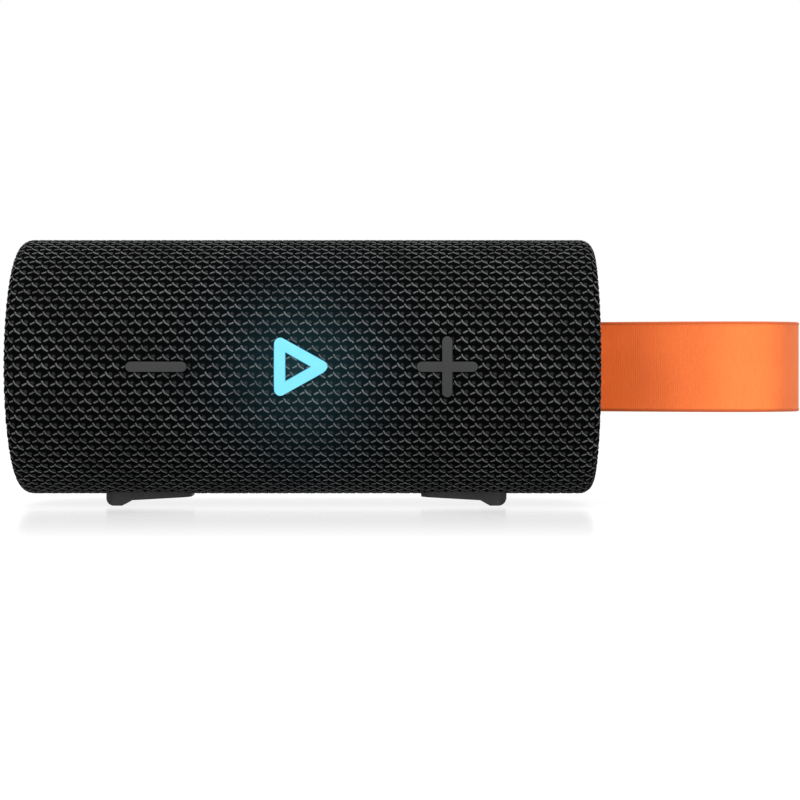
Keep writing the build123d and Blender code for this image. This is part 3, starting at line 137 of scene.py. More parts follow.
# ------------------------------------------------------------------ material graphs
class Graph:
    """A material with one Principled shader, and short names for the nodes that feed it."""

    def __init__(self, name):
        self.material = bpy.data.materials.new(name)
        self.material.use_nodes = True
        self.tree = self.material.node_tree
        self.shader = self.tree.nodes["Principled BSDF"]

    def feed(self, socket, value):
        if isinstance(value, bpy.types.NodeSocket):
            self.tree.links.new(value, socket)
        elif hasattr(value, "__len__") and len(value) == 3 and socket.type == "RGBA":
            socket.default_value = (*value, 1.0)
        else:
            socket.default_value = value

    def node(self, kind, inputs=(), **settings):
        made = self.tree.nodes.new(kind)
        for key, value in settings.items():
            setattr(made, key, value)
        for key, value in dict(inputs).items():
            self.feed(made.inputs[key], value)
        return made

    def set(self, **values):
        """Plain numbers and colours, and links, on the shader's own sockets."""
        for key, value in values.items():
            self.feed(self.shader.inputs[key.replace("_", " ")], value)

    def math(self, operation, a, b=0.0, clamp=False):
        made = self.node("ShaderNodeMath", {0: a, 1: b}, operation=operation, use_clamp=clamp)
        return made.outputs[0]

    def vector(self, operation, a, b=(0.0, 0.0, 0.0), scale=1.0):
        inputs = {0: a, 3: scale} if operation == "SCALE" else {0: a, 1: b}
        made = self.node("ShaderNodeVectorMath", inputs, operation=operation)
        gives_number = operation in ("DOT_PRODUCT", "LENGTH", "DISTANCE")
        return made.outputs["Value" if gives_number else "Vector"]

    def mix(self, factor, a, b):
        made = self.tree.nodes.new("ShaderNodeMix")
        made.data_type = "RGBA"
        self.feed(made.inputs[0], factor)
        self.feed(made.inputs[6], a)
        self.feed(made.inputs[7], b)
        return made.outputs[2]

    def span(self, value, low, high, to_low=0.0, to_high=1.0, smooth=True):
        made = self.node(
            "ShaderNodeMapRange",
            {
                "Value": value,
                "From Min": low,
                "From Max": high,
                "To Min": to_low,
                "To Max": to_high,
            },
            interpolation_type="SMOOTHSTEP" if smooth else "LINEAR",
        )
        return made.outputs["Result"]

    def place(self, per_mm=(1.0, 1.0, 1.0)):
        """Object position scaled to cycles per millimetre on each axis."""
        where = self.node("ShaderNodeTexCoord").outputs["Object"]
        return self.vector("MULTIPLY", where, tuple(k / MM for k in per_mm))

    def noise(self, vector, scale=1.0, detail=3.0, rough=0.5):
        made = self.node(
            "ShaderNodeTexNoise",
            {"Vector": vector, "Scale": scale, "Detail": detail, "Roughness": rough},
        )
        return made.outputs["Fac"]

    def bump(self, height, depth_mm, strength=1.0):
        made = self.node(
            "ShaderNodeBump", {"Height": height, "Distance": depth_mm * MM, "Strength": strength}
        )
        self.tree.links.new(made.outputs["Normal"], self.shader.inputs["Normal"])


def moulded(
    name, colour, rough, grain=3.0, depth=0.012, spread=0.12, metal=0.0, specular=0.5, marks=0.0
):
    """Moulded or pressed surface: fine grain, cloudy roughness, and dust or rub marks on it."""
    g = Graph(name)
    fine = g.noise(g.place(), grain, 4.0, 0.6)
    cloud = g.noise(g.place(), 0.22, 3.0)
    rub = g.span(g.noise(g.place((1.0, 0.5, 1.0)), 0.9, 5.0, 0.65), 0.56, 0.74)
    pale = tuple(min(1.0, c * 1.5 + 0.012) for c in colour)
    deep = tuple(c * (1 - spread * 1.6) for c in colour)
    shade = g.mix(cloud, deep, tuple(min(1.0, c * (1 + spread)) for c in colour))
    uneven = g.math("ADD", cloud, g.math("MULTIPLY", fine, 0.5))
    g.set(
        Base_Color=g.mix(g.math("MULTIPLY", rub, 0.25 + marks), shade, pale),
        Roughness=g.span(uneven, 0.3, 1.1, rough - 0.09, rough + 0.1),
        Metallic=metal,
    )
    g.shader.inputs["Specular IOR Level"].default_value = specular
    g.bump(fine, depth)
    return g


def turned(name, colour, rough, axis="x", metal=1.0):
    """Metal turned on a lathe: fine rings round an axis."""
    g = Graph(name)
    where = g.place()
    ring = g.node(
        "ShaderNodeTexWave",
        {"Vector": where, "Scale": 2.4, "Distortion": 0.6, "Detail": 3.0, "Detail Scale": 2.0},
        wave_type="RINGS",
        rings_direction=axis.upper(),
    ).outputs["Fac"]
    cloud = g.noise(where, 0.5, 3.0)
    g.set(
        Base_Color=g.mix(cloud, tuple(c * 0.8 for c in colour), colour),
        Roughness=g.span(g.math("ADD", ring, cloud), 0.3, 1.7, rough - 0.06, rough + 0.1),
        Metallic=metal,
    )
    g.bump(ring, 0.006)
    return g


def wound(name, colour, pitch, axis, rough=0.3, metal=0.9):
    """Fine wire or thread laid side by side along an axis, a pitch in millimetres apart."""
    g = Graph(name)
    where = g.place()
    lay = g.node(
        "ShaderNodeTexWave",
        {"Vector": where, "Scale": WAVE_PER_MM / pitch, "Distortion": 0.35, "Detail": 1.0},
        wave_type="BANDS",
        bands_direction=axis.upper(),
    ).outputs["Fac"]
    cloud = g.noise(where, 1.2, 3.0)
    # the darker colour in the grooves between turns is painted shade
    dark = tuple(c * 0.35 for c in colour)
    shade = g.mix(cloud, tuple(c * 0.8 for c in colour), colour)
    g.set(
        Base_Color=g.mix(g.span(lay, 0.05, 0.5), dark, shade),
        Roughness=g.span(cloud, 0.2, 0.8, rough - 0.05, rough + 0.15),
        Metallic=metal,
    )
    g.bump(lay, 0.5 * pitch)
    return g


def woven(name, colour, pitch, rough=0.75):
    """Plain-woven cloth seen on a part lying in the XY plane."""
    g = Graph(name)
    where = g.place()
    threads = {"Vector": where, "Scale": WAVE_PER_MM / pitch, "Distortion": 0.3}
    over, under = (
        g.node("ShaderNodeTexWave", threads, bands_direction=way).outputs["Fac"] for way in "XY"
    )
    weave = g.math("MULTIPLY", over, under)
    cloud = g.noise(where, 0.6, 4.0)
    shade = g.mix(cloud, tuple(c * 0.75 for c in colour), colour)
    # threads darker where they pass under others: painted shade in the gaps of the weave
    g.set(
        Base_Color=g.mix(g.span(weave, 0.0, 0.5), tuple(c * 0.45 for c in colour), shade),
        Roughness=g.span(cloud, 0.2, 0.8, rough - 0.08, rough + 0.1),
    )
    g.bump(weave, 0.06)
    return g


def laminate(name):
    """Circuit board: solder mask over raised copper tracks, with bare tinned pads."""
    g = Graph(name)
    where = g.place()
    cells = g.node("ShaderNodeTexVoronoi", {"Vector": where, "Scale": 0.55}, distance="MANHATTAN")
    contour = g.math("FRACT", g.math("MULTIPLY", cells.outputs["Distance"], 5.0))
    edge = g.math("ABSOLUTE", g.math("SUBTRACT", contour, 0.5))
    track = g.span(edge, 0.2, 0.26)
    pads = g.node("ShaderNodeTexVoronoi", {"Vector": where, "Scale": 0.42, "Randomness": 0.7})
    pad = g.span(pads.outputs["Distance"], 0.19, 0.15)
    cloud = g.noise(where, 0.8, 3.0)
    mask = g.mix(track, (0.006, 0.05, 0.028), (0.012, 0.11, 0.055))
    g.set(
        Base_Color=g.mix(pad, mask, (0.62, 0.6, 0.55)),
        Roughness=g.span(cloud, 0.2, 0.8, 0.28, 0.44),
        Metallic=pad,
    )
    g.bump(g.math("ADD", track, pad), 0.03)
    return g


# ------------------------------------------------------------------ the knit
def yarn_height(g, point, a, b):
    """Yarn height, 1 on its line and 0 beyond its half width, from a stitch's own coordinates."""
    run = (b[0] - a[0], b[1] - a[1], 0.0)
    length_squared = run[0] ** 2 + run[1] ** 2
    from_a = g.vector("SUBTRACT", point, (a[0], a[1], 0.0))
    along = g.math("DIVIDE", g.vector("DOT_PRODUCT", from_a, run), length_squared, clamp=True)
    nearest = g.vector("SCALE", run, scale=along)
    off = g.vector("LENGTH", g.vector("SUBTRACT", from_a, nearest))
    return g.span(off, YARN_HALF, 0.0)


def knit_material(name, glow):
    """Coarse black knit: yarn crests lit partly by a painted highlight over their own grey, loops
    between them, recesses in painted shade, and the light round the play symbol.
    """
    g = Graph(name)
    cells = g.node("ShaderNodeUVMap", uv_map="UVMap").outputs["UV"]
    apart = g.node("ShaderNodeSeparateXYZ", {0: cells})
    row = g.math("FLOOR", apart.outputs["Y"])
    shift = g.math("MULTIPLY", g.math("FLOORED_MODULO", row, 2.0), 0.5)
    shifted = g.math("SUBTRACT", apart.outputs["X"], shift)
    stitch = g.node(
        "ShaderNodeCombineXYZ",
        {
            0: g.math("MULTIPLY", g.math("FRACT", shifted), STITCH_WIDTH),
            1: g.math("MULTIPLY", g.math("FRACT", apart.outputs["Y"]), STITCH_HEIGHT),
        },
    ).outputs[0]
    whole = g.node("ShaderNodeCombineXYZ", {0: g.math("FLOOR", shifted), 1: row}).outputs[0]
    random = g.node("ShaderNodeTexWhiteNoise", {"Vector": whole}, noise_dimensions="2D")
    drift = g.node("ShaderNodeTexNoise", {"Vector": g.place(), "Scale": 1.6}).outputs["Color"]
    wobble = g.vector("SCALE", g.vector("SUBTRACT", drift, (0.5, 0.5, 0.5)), scale=YARN_WOBBLE)
    point = g.vector("MULTIPLY", g.vector("ADD", stitch, wobble), (1.0, 1.0, 0.0))
    dash = yarn_height(g, point, *DASH)
    upper = yarn_height(g, point, *CRESCENT[:2])
    lower = yarn_height(g, point, *CRESCENT[1:])
    to_knot = g.vector("DISTANCE", point, (*KNOT, 0.0))
    knot = g.math("MULTIPLY", g.span(to_knot, *KNOT_SPREAD), KNOT_WEIGHT)
    yarn = g.math("MAXIMUM", g.math("MAXIMUM", dash, knot), g.math("MAXIMUM", upper, lower))
    strands = g.noise(g.place((5.0, 5.0, 2.2)), 2.2, 3.0, 0.6)
    cloud = g.noise(g.place(), 0.09, 2.0)
    unlike = g.span(random.outputs["Value"], 0.0, 1.0, 0.78, 1.0, smooth=False)
    # crest mask: yarn crests lighter, partly their own grey and partly a painted highlight, over a
    # ground darkened with painted shade in the recesses
    crest = g.math("MULTIPLY", yarn, unlike)
    lit = g.math("MULTIPLY", crest, g.span(g.math("ADD", strands, cloud), 0.55, 1.35, 0.75, 1.08))
    crest_highlight = g.span(lit, 0.34, 1.0)
    beside = g.span(g.math("ADD", yarn, knot), 0.0, 0.5)
    loop = g.math("MULTIPLY", beside, g.span(strands, 0.30, 0.6))
    ground = g.mix(loop, RECESS_SHADE, LOOP_COLOUR)
    g.set(
        Base_Color=g.mix(crest_highlight, ground, CREST_GREY_AND_HIGHLIGHT),
        Roughness=g.span(g.math("ADD", strands, crest_highlight), 0.3, 1.6, 0.85, 0.62),
    )
    g.shader.inputs["Specular IOR Level"].default_value = 0.0
    g.bump(g.math("ADD", yarn, g.math("MULTIPLY", strands, 0.22)), 0.16, 0.9)
    # light from the play symbol that soaks into the yarn round it
    where = g.place()
    in_plan = g.vector("MULTIPLY", where, (1.0, 0.0, 1.0))
    away = g.vector("LENGTH", g.vector("SUBTRACT", in_plan, (0.0, 0.0, AXIS_HEIGHT)))
    front = g.span(g.vector("DOT_PRODUCT", where, (0.0, -1.0, 0.0)), 2.0, 12.0)
    spread = g.math("POWER", g.math("DIVIDE", away, HALO_RADIUS), 2.0)
    fall = g.math("EXPONENT", g.math("MULTIPLY", spread, -1.0))
    halo = g.math("MULTIPLY", g.math("MULTIPLY", fall, front), glow)
    g.set(
        Emission_Color=g.mix(crest_highlight, HALO_IN_RECESS, HALO_ON_CREST),
        Emission_Strength=halo,
    )
    return g


def stitch_points():
    """Points and heights of one stitch: yarn crests at 1, their feet low and the knot between."""
    points, ridges = [], []

    def strip(line):
        line = [np.array(p) for p in line]
        start = len(points)
        for k, p in enumerate(line):
            ahead = line[min(k + 1, len(line) - 1)] - line[max(k - 1, 0)]
            side = np.array((-ahead[1], ahead[0])) / np.hypot(*ahead)
            points.append((*p, 1.0))
            points.append((*(p + YARN_HALF * side), YARN_FOOT))
            points.append((*(p - YARN_HALF * side), YARN_FOOT))
        for end, other in ((line[0], line[1]), (line[-1], line[-2])):
            out = (end - other) / np.hypot(*(end - other))
            points.append((*(end + 0.7 * YARN_HALF * out), YARN_FOOT))
        for k in range(len(line) - 1):
            ridges.append((start + 3 * k, start + 3 * k + 3))

    strip(DASH)
    strip(CRESCENT)
    points.append((*KNOT, KNOT_HEIGHT))
    return np.array(points), ridges


def knit_field():
    """The whole cover on the flat: each point's (u, v) and height, and the triangles."""
    cell, ridges = stitch_points()
    pair = np.vstack([cell, cell + (STITCH_WIDTH / 2, STITCH_HEIGHT, 0.0)])
    count = len(pair)
    edges = ridges + [(a + len(cell), b + len(cell)) for a, b in ridges]
    tiles = [(i, j) for i in (-1, 0, 1) for j in (-1, 0, 1)]
    flat = np.vstack([pair[:, :2] + (i * STITCH_WIDTH, 2 * j * STITCH_HEIGHT) for i, j in tiles])
    kept = [(a + t * count, b + t * count) for t in range(len(tiles)) for a, b in edges]
    _, _, faces, origin, _, _ = delaunay_2d_cdt([Vector(p) for p in flat], kept, [], 0, 1e-7)
    unit = []
    for face in faces:
        corners = [origin[k][0] for k in face]
        middle = flat[corners].mean(0)
        if 0 <= middle[0] < STITCH_WIDTH and 0 <= middle[1] < 2 * STITCH_HEIGHT:
            unit.append([(c % count, *tiles[c // count]) for c in corners])
    unit = np.array(unit)
    columns = int(MERIDIAN / STITCH_WIDTH) + 4
    pairs = ROWS // 2
    i, j, k = np.meshgrid(np.arange(columns), np.arange(pairs), np.arange(count), indexing="ij")
    u = pair[k, 0] + (i - 2) * STITCH_WIDTH - MERIDIAN / 2
    v = pair[k, 1] + 2 * j * STITCH_HEIGHT
    height = pair[k, 2] * random_source.uniform(0.86, 1.0, k.shape)
    triangles = []
    for column in range(1, columns - 1):
        for line in range(pairs):
            cell_number = (unit[:, :, 1] + column) * pairs + (unit[:, :, 2] + line) % pairs
            triangles.append(cell_number * count + unit[:, :, 0])
    return np.stack([u.ravel(), v.ravel() % TURN], 1), height.ravel(), np.vstack(triangles)


def on_cover(uv, lift):
    """Places on the cover: u runs along the meridian from hem to hem, v round from the bottom."""
    straight = HALF_LENGTH - END_ROUNDING
    corner = END_ROUNDING * math.pi / 2
    u, side = np.abs(uv[:, 0]), np.sign(uv[:, 0])
    turn = np.clip((u - straight) / END_ROUNDING, 0, math.pi / 2)
    beyond = np.clip(u - straight - corner, 0, None)
    x = np.minimum(u, straight) + (END_ROUNDING + lift) * np.sin(turn)
    radius = BODY_RADIUS - END_ROUNDING + (END_ROUNDING + lift) * np.cos(turn) - beyond
    angle = uv[:, 1] / BODY_RADIUS
    y, z = -radius * np.sin(angle), AXIS_HEIGHT - radius * np.cos(angle)
    return np.stack([side * x, y, z], 1) * MM


def bar(centre, half):
    """Signed distance from a round-ended bar, outside positive; half is its half size."""
    half = np.array(half, float)
    cap = half.min()

    def distance(p):
        inner = np.abs(p - centre) - (half - cap)
        return np.hypot(*np.maximum(inner, 0).T) + np.minimum(inner.max(1), 0) - cap

    return distance


def block(centre, half):
    """Signed distance from a square-cornered block."""

    def distance(p):
        inner = np.abs(p - centre) - np.array(half)
        return np.hypot(*np.maximum(inner, 0).T) + np.minimum(inner.max(1), 0)

    return distance


PLAY_HALF = PLAY_HEIGHT / 2 - PLAY_CORNER
PLAY_CENTRES = np.array(
    [
        (PLAY_BACK + PLAY_CORNER, PLAY_HALF),
        (PLAY_BACK + PLAY_CORNER, -PLAY_HALF),
        (PLAY_TIP - PLAY_CORNER, 0),
    ]
)


def play(grow):
    """Signed distance from the rounded play triangle, grown by a distance."""

    def distance(p):
        best, inside = np.full(len(p), np.inf), np.ones(len(p), bool)
        for a, b in zip(PLAY_CENTRES, np.roll(PLAY_CENTRES, -1, 0)):
            run = b - a
            t = np.clip((p - a) @ run / (run @ run), 0, 1)
            best = np.minimum(best, np.hypot(*(p - a - t[:, None] * run).T))
            inside &= run[0] * (p[:, 1] - a[1]) - run[1] * (p[:, 0] - a[0]) > 0
        return np.where(inside, -best, best) - PLAY_CORNER - grow

    return distance


def play_corners(grow):
    """Sharp corners of the play triangle shrunk by more than its corner rounding."""
    opposite = np.roll(PLAY_CENTRES, -1, 0) - np.roll(PLAY_CENTRES, -2, 0)
    lengths = np.hypot(*opposite.T)
    centre = lengths @ PLAY_CENTRES / lengths.sum()
    inner = PLAY_HALF * (PLAY_TIP - PLAY_BACK - 2 * PLAY_CORNER) * 2 / lengths.sum()
    return centre + (PLAY_CENTRES - centre) * (1 + (grow + PLAY_CORNER) / inner)


def either(*shapes):
    return lambda p: np.min([s(p) for s in shapes], 0)


# Each seen_from_ function gives the cover's points as seen square on from one side, and which of
# them face that side; its back_to_ partner lays such points on the cover again.
def seen_from_front(uv):
    angle = uv[:, 1] / BODY_RADIUS
    p = np.stack([uv[:, 0], -BODY_RADIUS * np.cos(angle)], 1)
    return p, np.sin(angle) > FACING


def back_to_front(p):
    angle = np.arccos(np.clip(-p[:, 1] / BODY_RADIUS, -1, 1))
    return np.stack([p[:, 0], BODY_RADIUS * angle], 1)


def seen_from_rear(uv):
    p, _ = seen_from_front(uv)
    return p, np.sin(uv[:, 1] / BODY_RADIUS) < -FACING


def back_to_rear(p):
    made = back_to_front(p)
    made[:, 1] = TURN - made[:, 1]
    return made


def seen_from_below(uv):
    angle = uv[:, 1] / BODY_RADIUS
    return np.stack([uv[:, 0], -BODY_RADIUS * np.sin(angle)], 1), np.cos(angle) > FACING


def back_to_below(p):
    angle = np.arcsin(np.clip(-p[:, 1] / BODY_RADIUS, -1, 1))
    return np.stack([p[:, 0], (BODY_RADIUS * angle) % TURN], 1)


def knitted(name, uv, height, triangles, rule, openings, points=()):
    """A piece of the cover: the triangles that rule keeps, cut edges drawn onto the openings."""
    uv = uv.copy()
    first = uv[triangles[:, 0], 1]
    unwrapped = uv[triangles]
    unwrapped[:, :, 1] -= TURN * np.round((unwrapped[:, :, 1] - first[:, None]) / TURN)
    middle = unwrapped.mean(1)
    middle[:, 1] %= TURN
    kept = triangles[rule(middle)]
    half = MERIDIAN / 2
    outside = np.abs(uv[:, 0]) >= half
    kept = kept[~outside[kept].all(1)]
    uv[:, 0] = np.clip(uv[:, 0], -half, half)
    sides = np.sort(np.vstack([kept[:, [0, 1]], kept[:, [1, 2]], kept[:, [2, 0]]]), 1)
    lines, uses = np.unique(sides, axis=0, return_counts=True)
    rim = np.unique(lines[uses == 1])
    height = height.copy()
    for seen, back, shape in openings:
        p, here = seen(uv[rim])
        here &= np.abs(shape(p)) < RIM_REACH
        some = rim[here]
        if not len(some):
            continue
        q = seen(uv[some])[0]
        step = 1e-3
        for _ in range(4):
            d = shape(q)
            slope = np.stack([shape(q + (step, 0)) - d, shape(q + (0, step)) - d], 1) / step
            q = q - d[:, None] * slope / np.maximum((slope**2).sum(1), 0.2)[:, None]
        for point in points:
            q[np.argmin(np.hypot(*(q - point).T))] = point
        uv[some] = back(q)
        height[some] = np.maximum(height[some], RIM_HEIGHT)
    used, where = np.unique(kept, return_inverse=True)
    kept = where.reshape(kept.shape)
    uv, height = uv[used], height[used]
    directed = np.vstack([kept[:, [0, 1]], kept[:, [1, 2]], kept[:, [2, 0]]])
    keys = np.sort(directed, 1) @ (len(uv) + 1, 1)
    _, first_use, uses = np.unique(keys, return_index=True, return_counts=True)
    open_edges = directed[first_use[uses == 1]]
    rim = np.unique(open_edges)
    under = np.full(len(uv), -1)
    under[rim] = len(uv) + np.arange(len(rim))
    turned_in = on_cover(uv[rim], np.full(len(rim), -CLOTH_DEPTH))
    places = np.vstack([on_cover(uv, (height - 1) * RELIEF), turned_in])
    flat = np.vstack([uv, uv[rim]])
    walls = np.vstack(
        [
            np.stack([open_edges[:, 1], open_edges[:, 0], under[open_edges[:, 0]]], 1),
            np.stack([open_edges[:, 1], under[open_edges[:, 0]], under[open_edges[:, 1]]], 1),
        ]
    )
    faces = np.vstack([kept, walls])
    a, b, c = places[faces[:, 0]], places[faces[:, 1]], places[faces[:, 2]]
    faces = faces[np.linalg.norm(np.cross(b - a, c - a), axis=1) > 1e-12]
    mesh = bpy.data.meshes.new(name)
    mesh.from_pydata(places.tolist(), [], faces.tolist())
    cells = flat[faces]
    cells[:, :, 1] -= TURN * np.round((cells[:, :, 1] - cells[:, :1, 1]) / TURN)
    cells[:, :, 0] = (cells[:, :, 0] + MERIDIAN / 2) / STITCH_WIDTH + 2
    cells[:, :, 1] /= STITCH_HEIGHT
    layer = mesh.uv_layers.new(name="UVMap")
    layer.data.foreach_set("uv", cells.reshape(-1).astype(np.float32))
    mesh.shade_smooth()
    made = bpy.data.objects.new(name, mesh)
    bpy.context.scene.collection.objects.link(made)
    return made


random_source = np.random.default_rng(7)
field = knit_field()

panel_low, panel_high = (np.array(c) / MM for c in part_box("rear_panel"))
foot_x = [float(np.mean([c[0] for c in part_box(n)])) / MM for n in ("left_foot", "right_foot")]
bar_half = (SYMBOL_SIZE / 2 + KEY_GAP, SYMBOL_BAR / 2 + KEY_GAP)
symbol_outline = either(
    bar((MINUS_X, 0.0), bar_half),
    bar((PLUS_X, 0.0), bar_half),
    bar((PLUS_X, 0.0), bar_half[::-1]),
    play(KEY_GAP),
)
panel_middle = (panel_low + panel_high)[[0, 2]] / 2 - (0.0, AXIS_HEIGHT)
panel_half = (panel_high - panel_low)[[0, 2]] / 2 - PANEL_FLANGE + PANEL_GAP
panel_outline = bar(panel_middle, panel_half)
foot_outline = either(block((foot_x[0], 0.0), FOOT_HALF), block((foot_x[1], 0.0), FOOT_HALF))
sleeve_openings = (
    (seen_from_front, back_to_front, symbol_outline),
    (seen_from_rear, back_to_rear, panel_outline),
    (seen_from_below, back_to_below, foot_outline),
)
patch_outline = play(-PLAY_LINE - KEY_GAP)


def outside_all(middle):
    clear = np.ones(len(middle), bool)
    for seen, _, shape in sleeve_openings:
        p, here = seen(middle)
        clear &= ~(here & (shape(p) < 0))
    return clear


def inside_patch(middle):
    p, here = seen_from_front(middle)
    return here & (patch_outline(p) < PATCH_REACH)


cover = knitted("knit_cover", *field, outside_all, sleeve_openings)
cover.data.materials.append(knit_material("knit_cloth", 1.0).material)
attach(cover, "body")
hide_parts("cloth_sleeve")

patch = knitted(
    "knit_patch",
    *field,
    inside_patch,
    ((seen_from_front, back_to_front, patch_outline),),
    play_corners(-PLAY_LINE - KEY_GAP),
)
patch.data.materials.append(knit_material("knit_patch_cloth", 1.5).material)
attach(patch, "play_key")
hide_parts("play_cloth_patch")


# ------------------------------------------------------------------ strap
def strap_line(inset):
    """Middle of the webbing in plan, from one side of the neck round the bow to the other."""
    side = []
    pin = STRAP_PIN_X
    eye = STRAP_EYE_RADIUS + inset

    def arc(x, radius, drop, first, last, count):
        angles = np.radians(np.linspace(first, last, count))
        return [(x + radius * math.cos(a), radius * math.sin(a) - drop) for a in angles]

    side += arc(pin, eye, 0.0, 180, 40, 14)
    side += [(x, inset + 0.05) for x in np.linspace(pin + 2.7, STRAP_NECK_END, 5)]
    flank = arc(
        STRAP_WIDEST_X, STRAP_SIDE_RADIUS - inset, STRAP_SIDE_DROP, STRAP_SIDE_ANGLE, 90, 26
    )
    start, end = np.array(side[-1]), np.array(flank[0])
    side += [tuple(start + (end - start) * t) for t in np.linspace(0.06, 0.97, 20)]
    side += flank
    side += arc(
        STRAP_WIDEST_X,
        STRAP_SHOULDER_RADIUS - inset,
        STRAP_SHOULDER_DROP,
        88,
        STRAP_SHOULDER_ANGLE,
        24,
    )
    side += arc(STRAP_TIP_CENTRE, STRAP_TIP_RADIUS - inset, 0.0, STRAP_SHOULDER_ANGLE - 4, 0, 9)
    side = np.array(side)
    line = np.vstack([side, side[-2::-1] * (1, -1)])
    for _ in range(3):
        line[1:-1] = (line[:-2] + 2 * line[1:-1] + line[2:]) / 4
    return line[:-1]


def webbing(name):
    """Closed band of webbing: ribs across its faces and a bead along each selvedge."""
    line = strap_line(STRAP_THICKNESS / 2)
    closed = np.vstack([line, line[:1]])
    reach = np.concatenate([[0], np.cumsum(np.hypot(*np.diff(closed, axis=0).T))])
    steps = int(reach[-1] / STRAP_RIB) * 2
    t = np.arange(steps) * reach[-1] / steps
    path = np.stack([np.interp(t, reach, closed[:, k]) for k in (0, 1)], 1)
    tangent = np.roll(path, -1, 0) - np.roll(path, 1, 0)
    for _ in range(4):
        tangent = (np.roll(tangent, 1, 0) + 2 * tangent + np.roll(tangent, -1, 0)) / 4
    tangent /= np.linalg.norm(tangent, axis=1)[:, None]
    normal = np.stack([-tangent[:, 1], tangent[:, 0]], 1)
    half_width, half_thick = STRAP_WIDTH / 2, STRAP_THICKNESS / 2
    bead = STRAP_BEAD
    flat = half_width - bead - 0.2
    edges = half_width - np.array([bead, 0.35, 0.12])
    face = np.concatenate([-edges[::-1], np.linspace(-flat, flat, 14), edges])

    def thickness(w):
        edge = half_width - np.abs(w)
        dip = np.where(edge < bead, 0.0, BEAD_RISE)
        return half_thick - 0.02 - dip - 0.24 * np.clip(1 - edge / 0.3, 0, 1) ** 2

    profile = [(w, thickness(w), 1.0 if half_width - abs(w) > bead else 0.4) for w in face]
    profile += [(half_width, 0.3, 0.2), (half_width, -0.3, 0.2)]
    profile += [(w, -thickness(w), 1.0 if half_width - abs(w) > bead else 0.4) for w in face[::-1]]
    profile += [(-half_width, -0.3, 0.2), (-half_width, 0.3, 0.2)]
    profile = np.array(profile)
    across, tall, weight = profile.T
    wave = np.where(np.arange(steps) % 2 == 0, 0.0, -RIB_DEPTH)
    out = tall[None, :] + np.sign(tall)[None, :] * wave[:, None] * weight[None, :]
    x = path[:, 0, None] + normal[:, 0, None] * out
    y = path[:, 1, None] + normal[:, 1, None] * out
    z = AXIS_HEIGHT + np.repeat(across[None, :], steps, 0)
    places = np.stack([x, y, z], 2).reshape(-1, 3) * MM
    width = len(profile)
    i, j = np.meshgrid(np.arange(steps), np.arange(width), indexing="ij")
    i, j = i.ravel(), j.ravel()
    after, beside = (i + 1) % steps, (j + 1) % width
    rows = (i * width + j, i * width + beside, after * width + beside, after * width + j)
    mesh = bpy.data.meshes.new(name)
    mesh.from_pydata(places.tolist(), [], np.stack(rows, 1).tolist())
    u = np.stack([i, i, i + 1, i + 1], 1) * (reach[-1] / steps)
    v = across[np.stack([j, beside, beside, j], 1)]
    layer = mesh.uv_layers.new(name="UVMap")
    layer.data.foreach_set("uv", np.stack([u, v], 2).reshape(-1).astype(np.float32))
    mesh.shade_smooth()
    made = bpy.data.objects.new(name, mesh)
    bpy.context.scene.collection.objects.link(made)
    shape = bmesh.new()
    shape.from_mesh(mesh)
    bmesh.ops.recalc_face_normals(shape, faces=shape.faces)
    shape.to_mesh(mesh)
    shape.free()
    return made


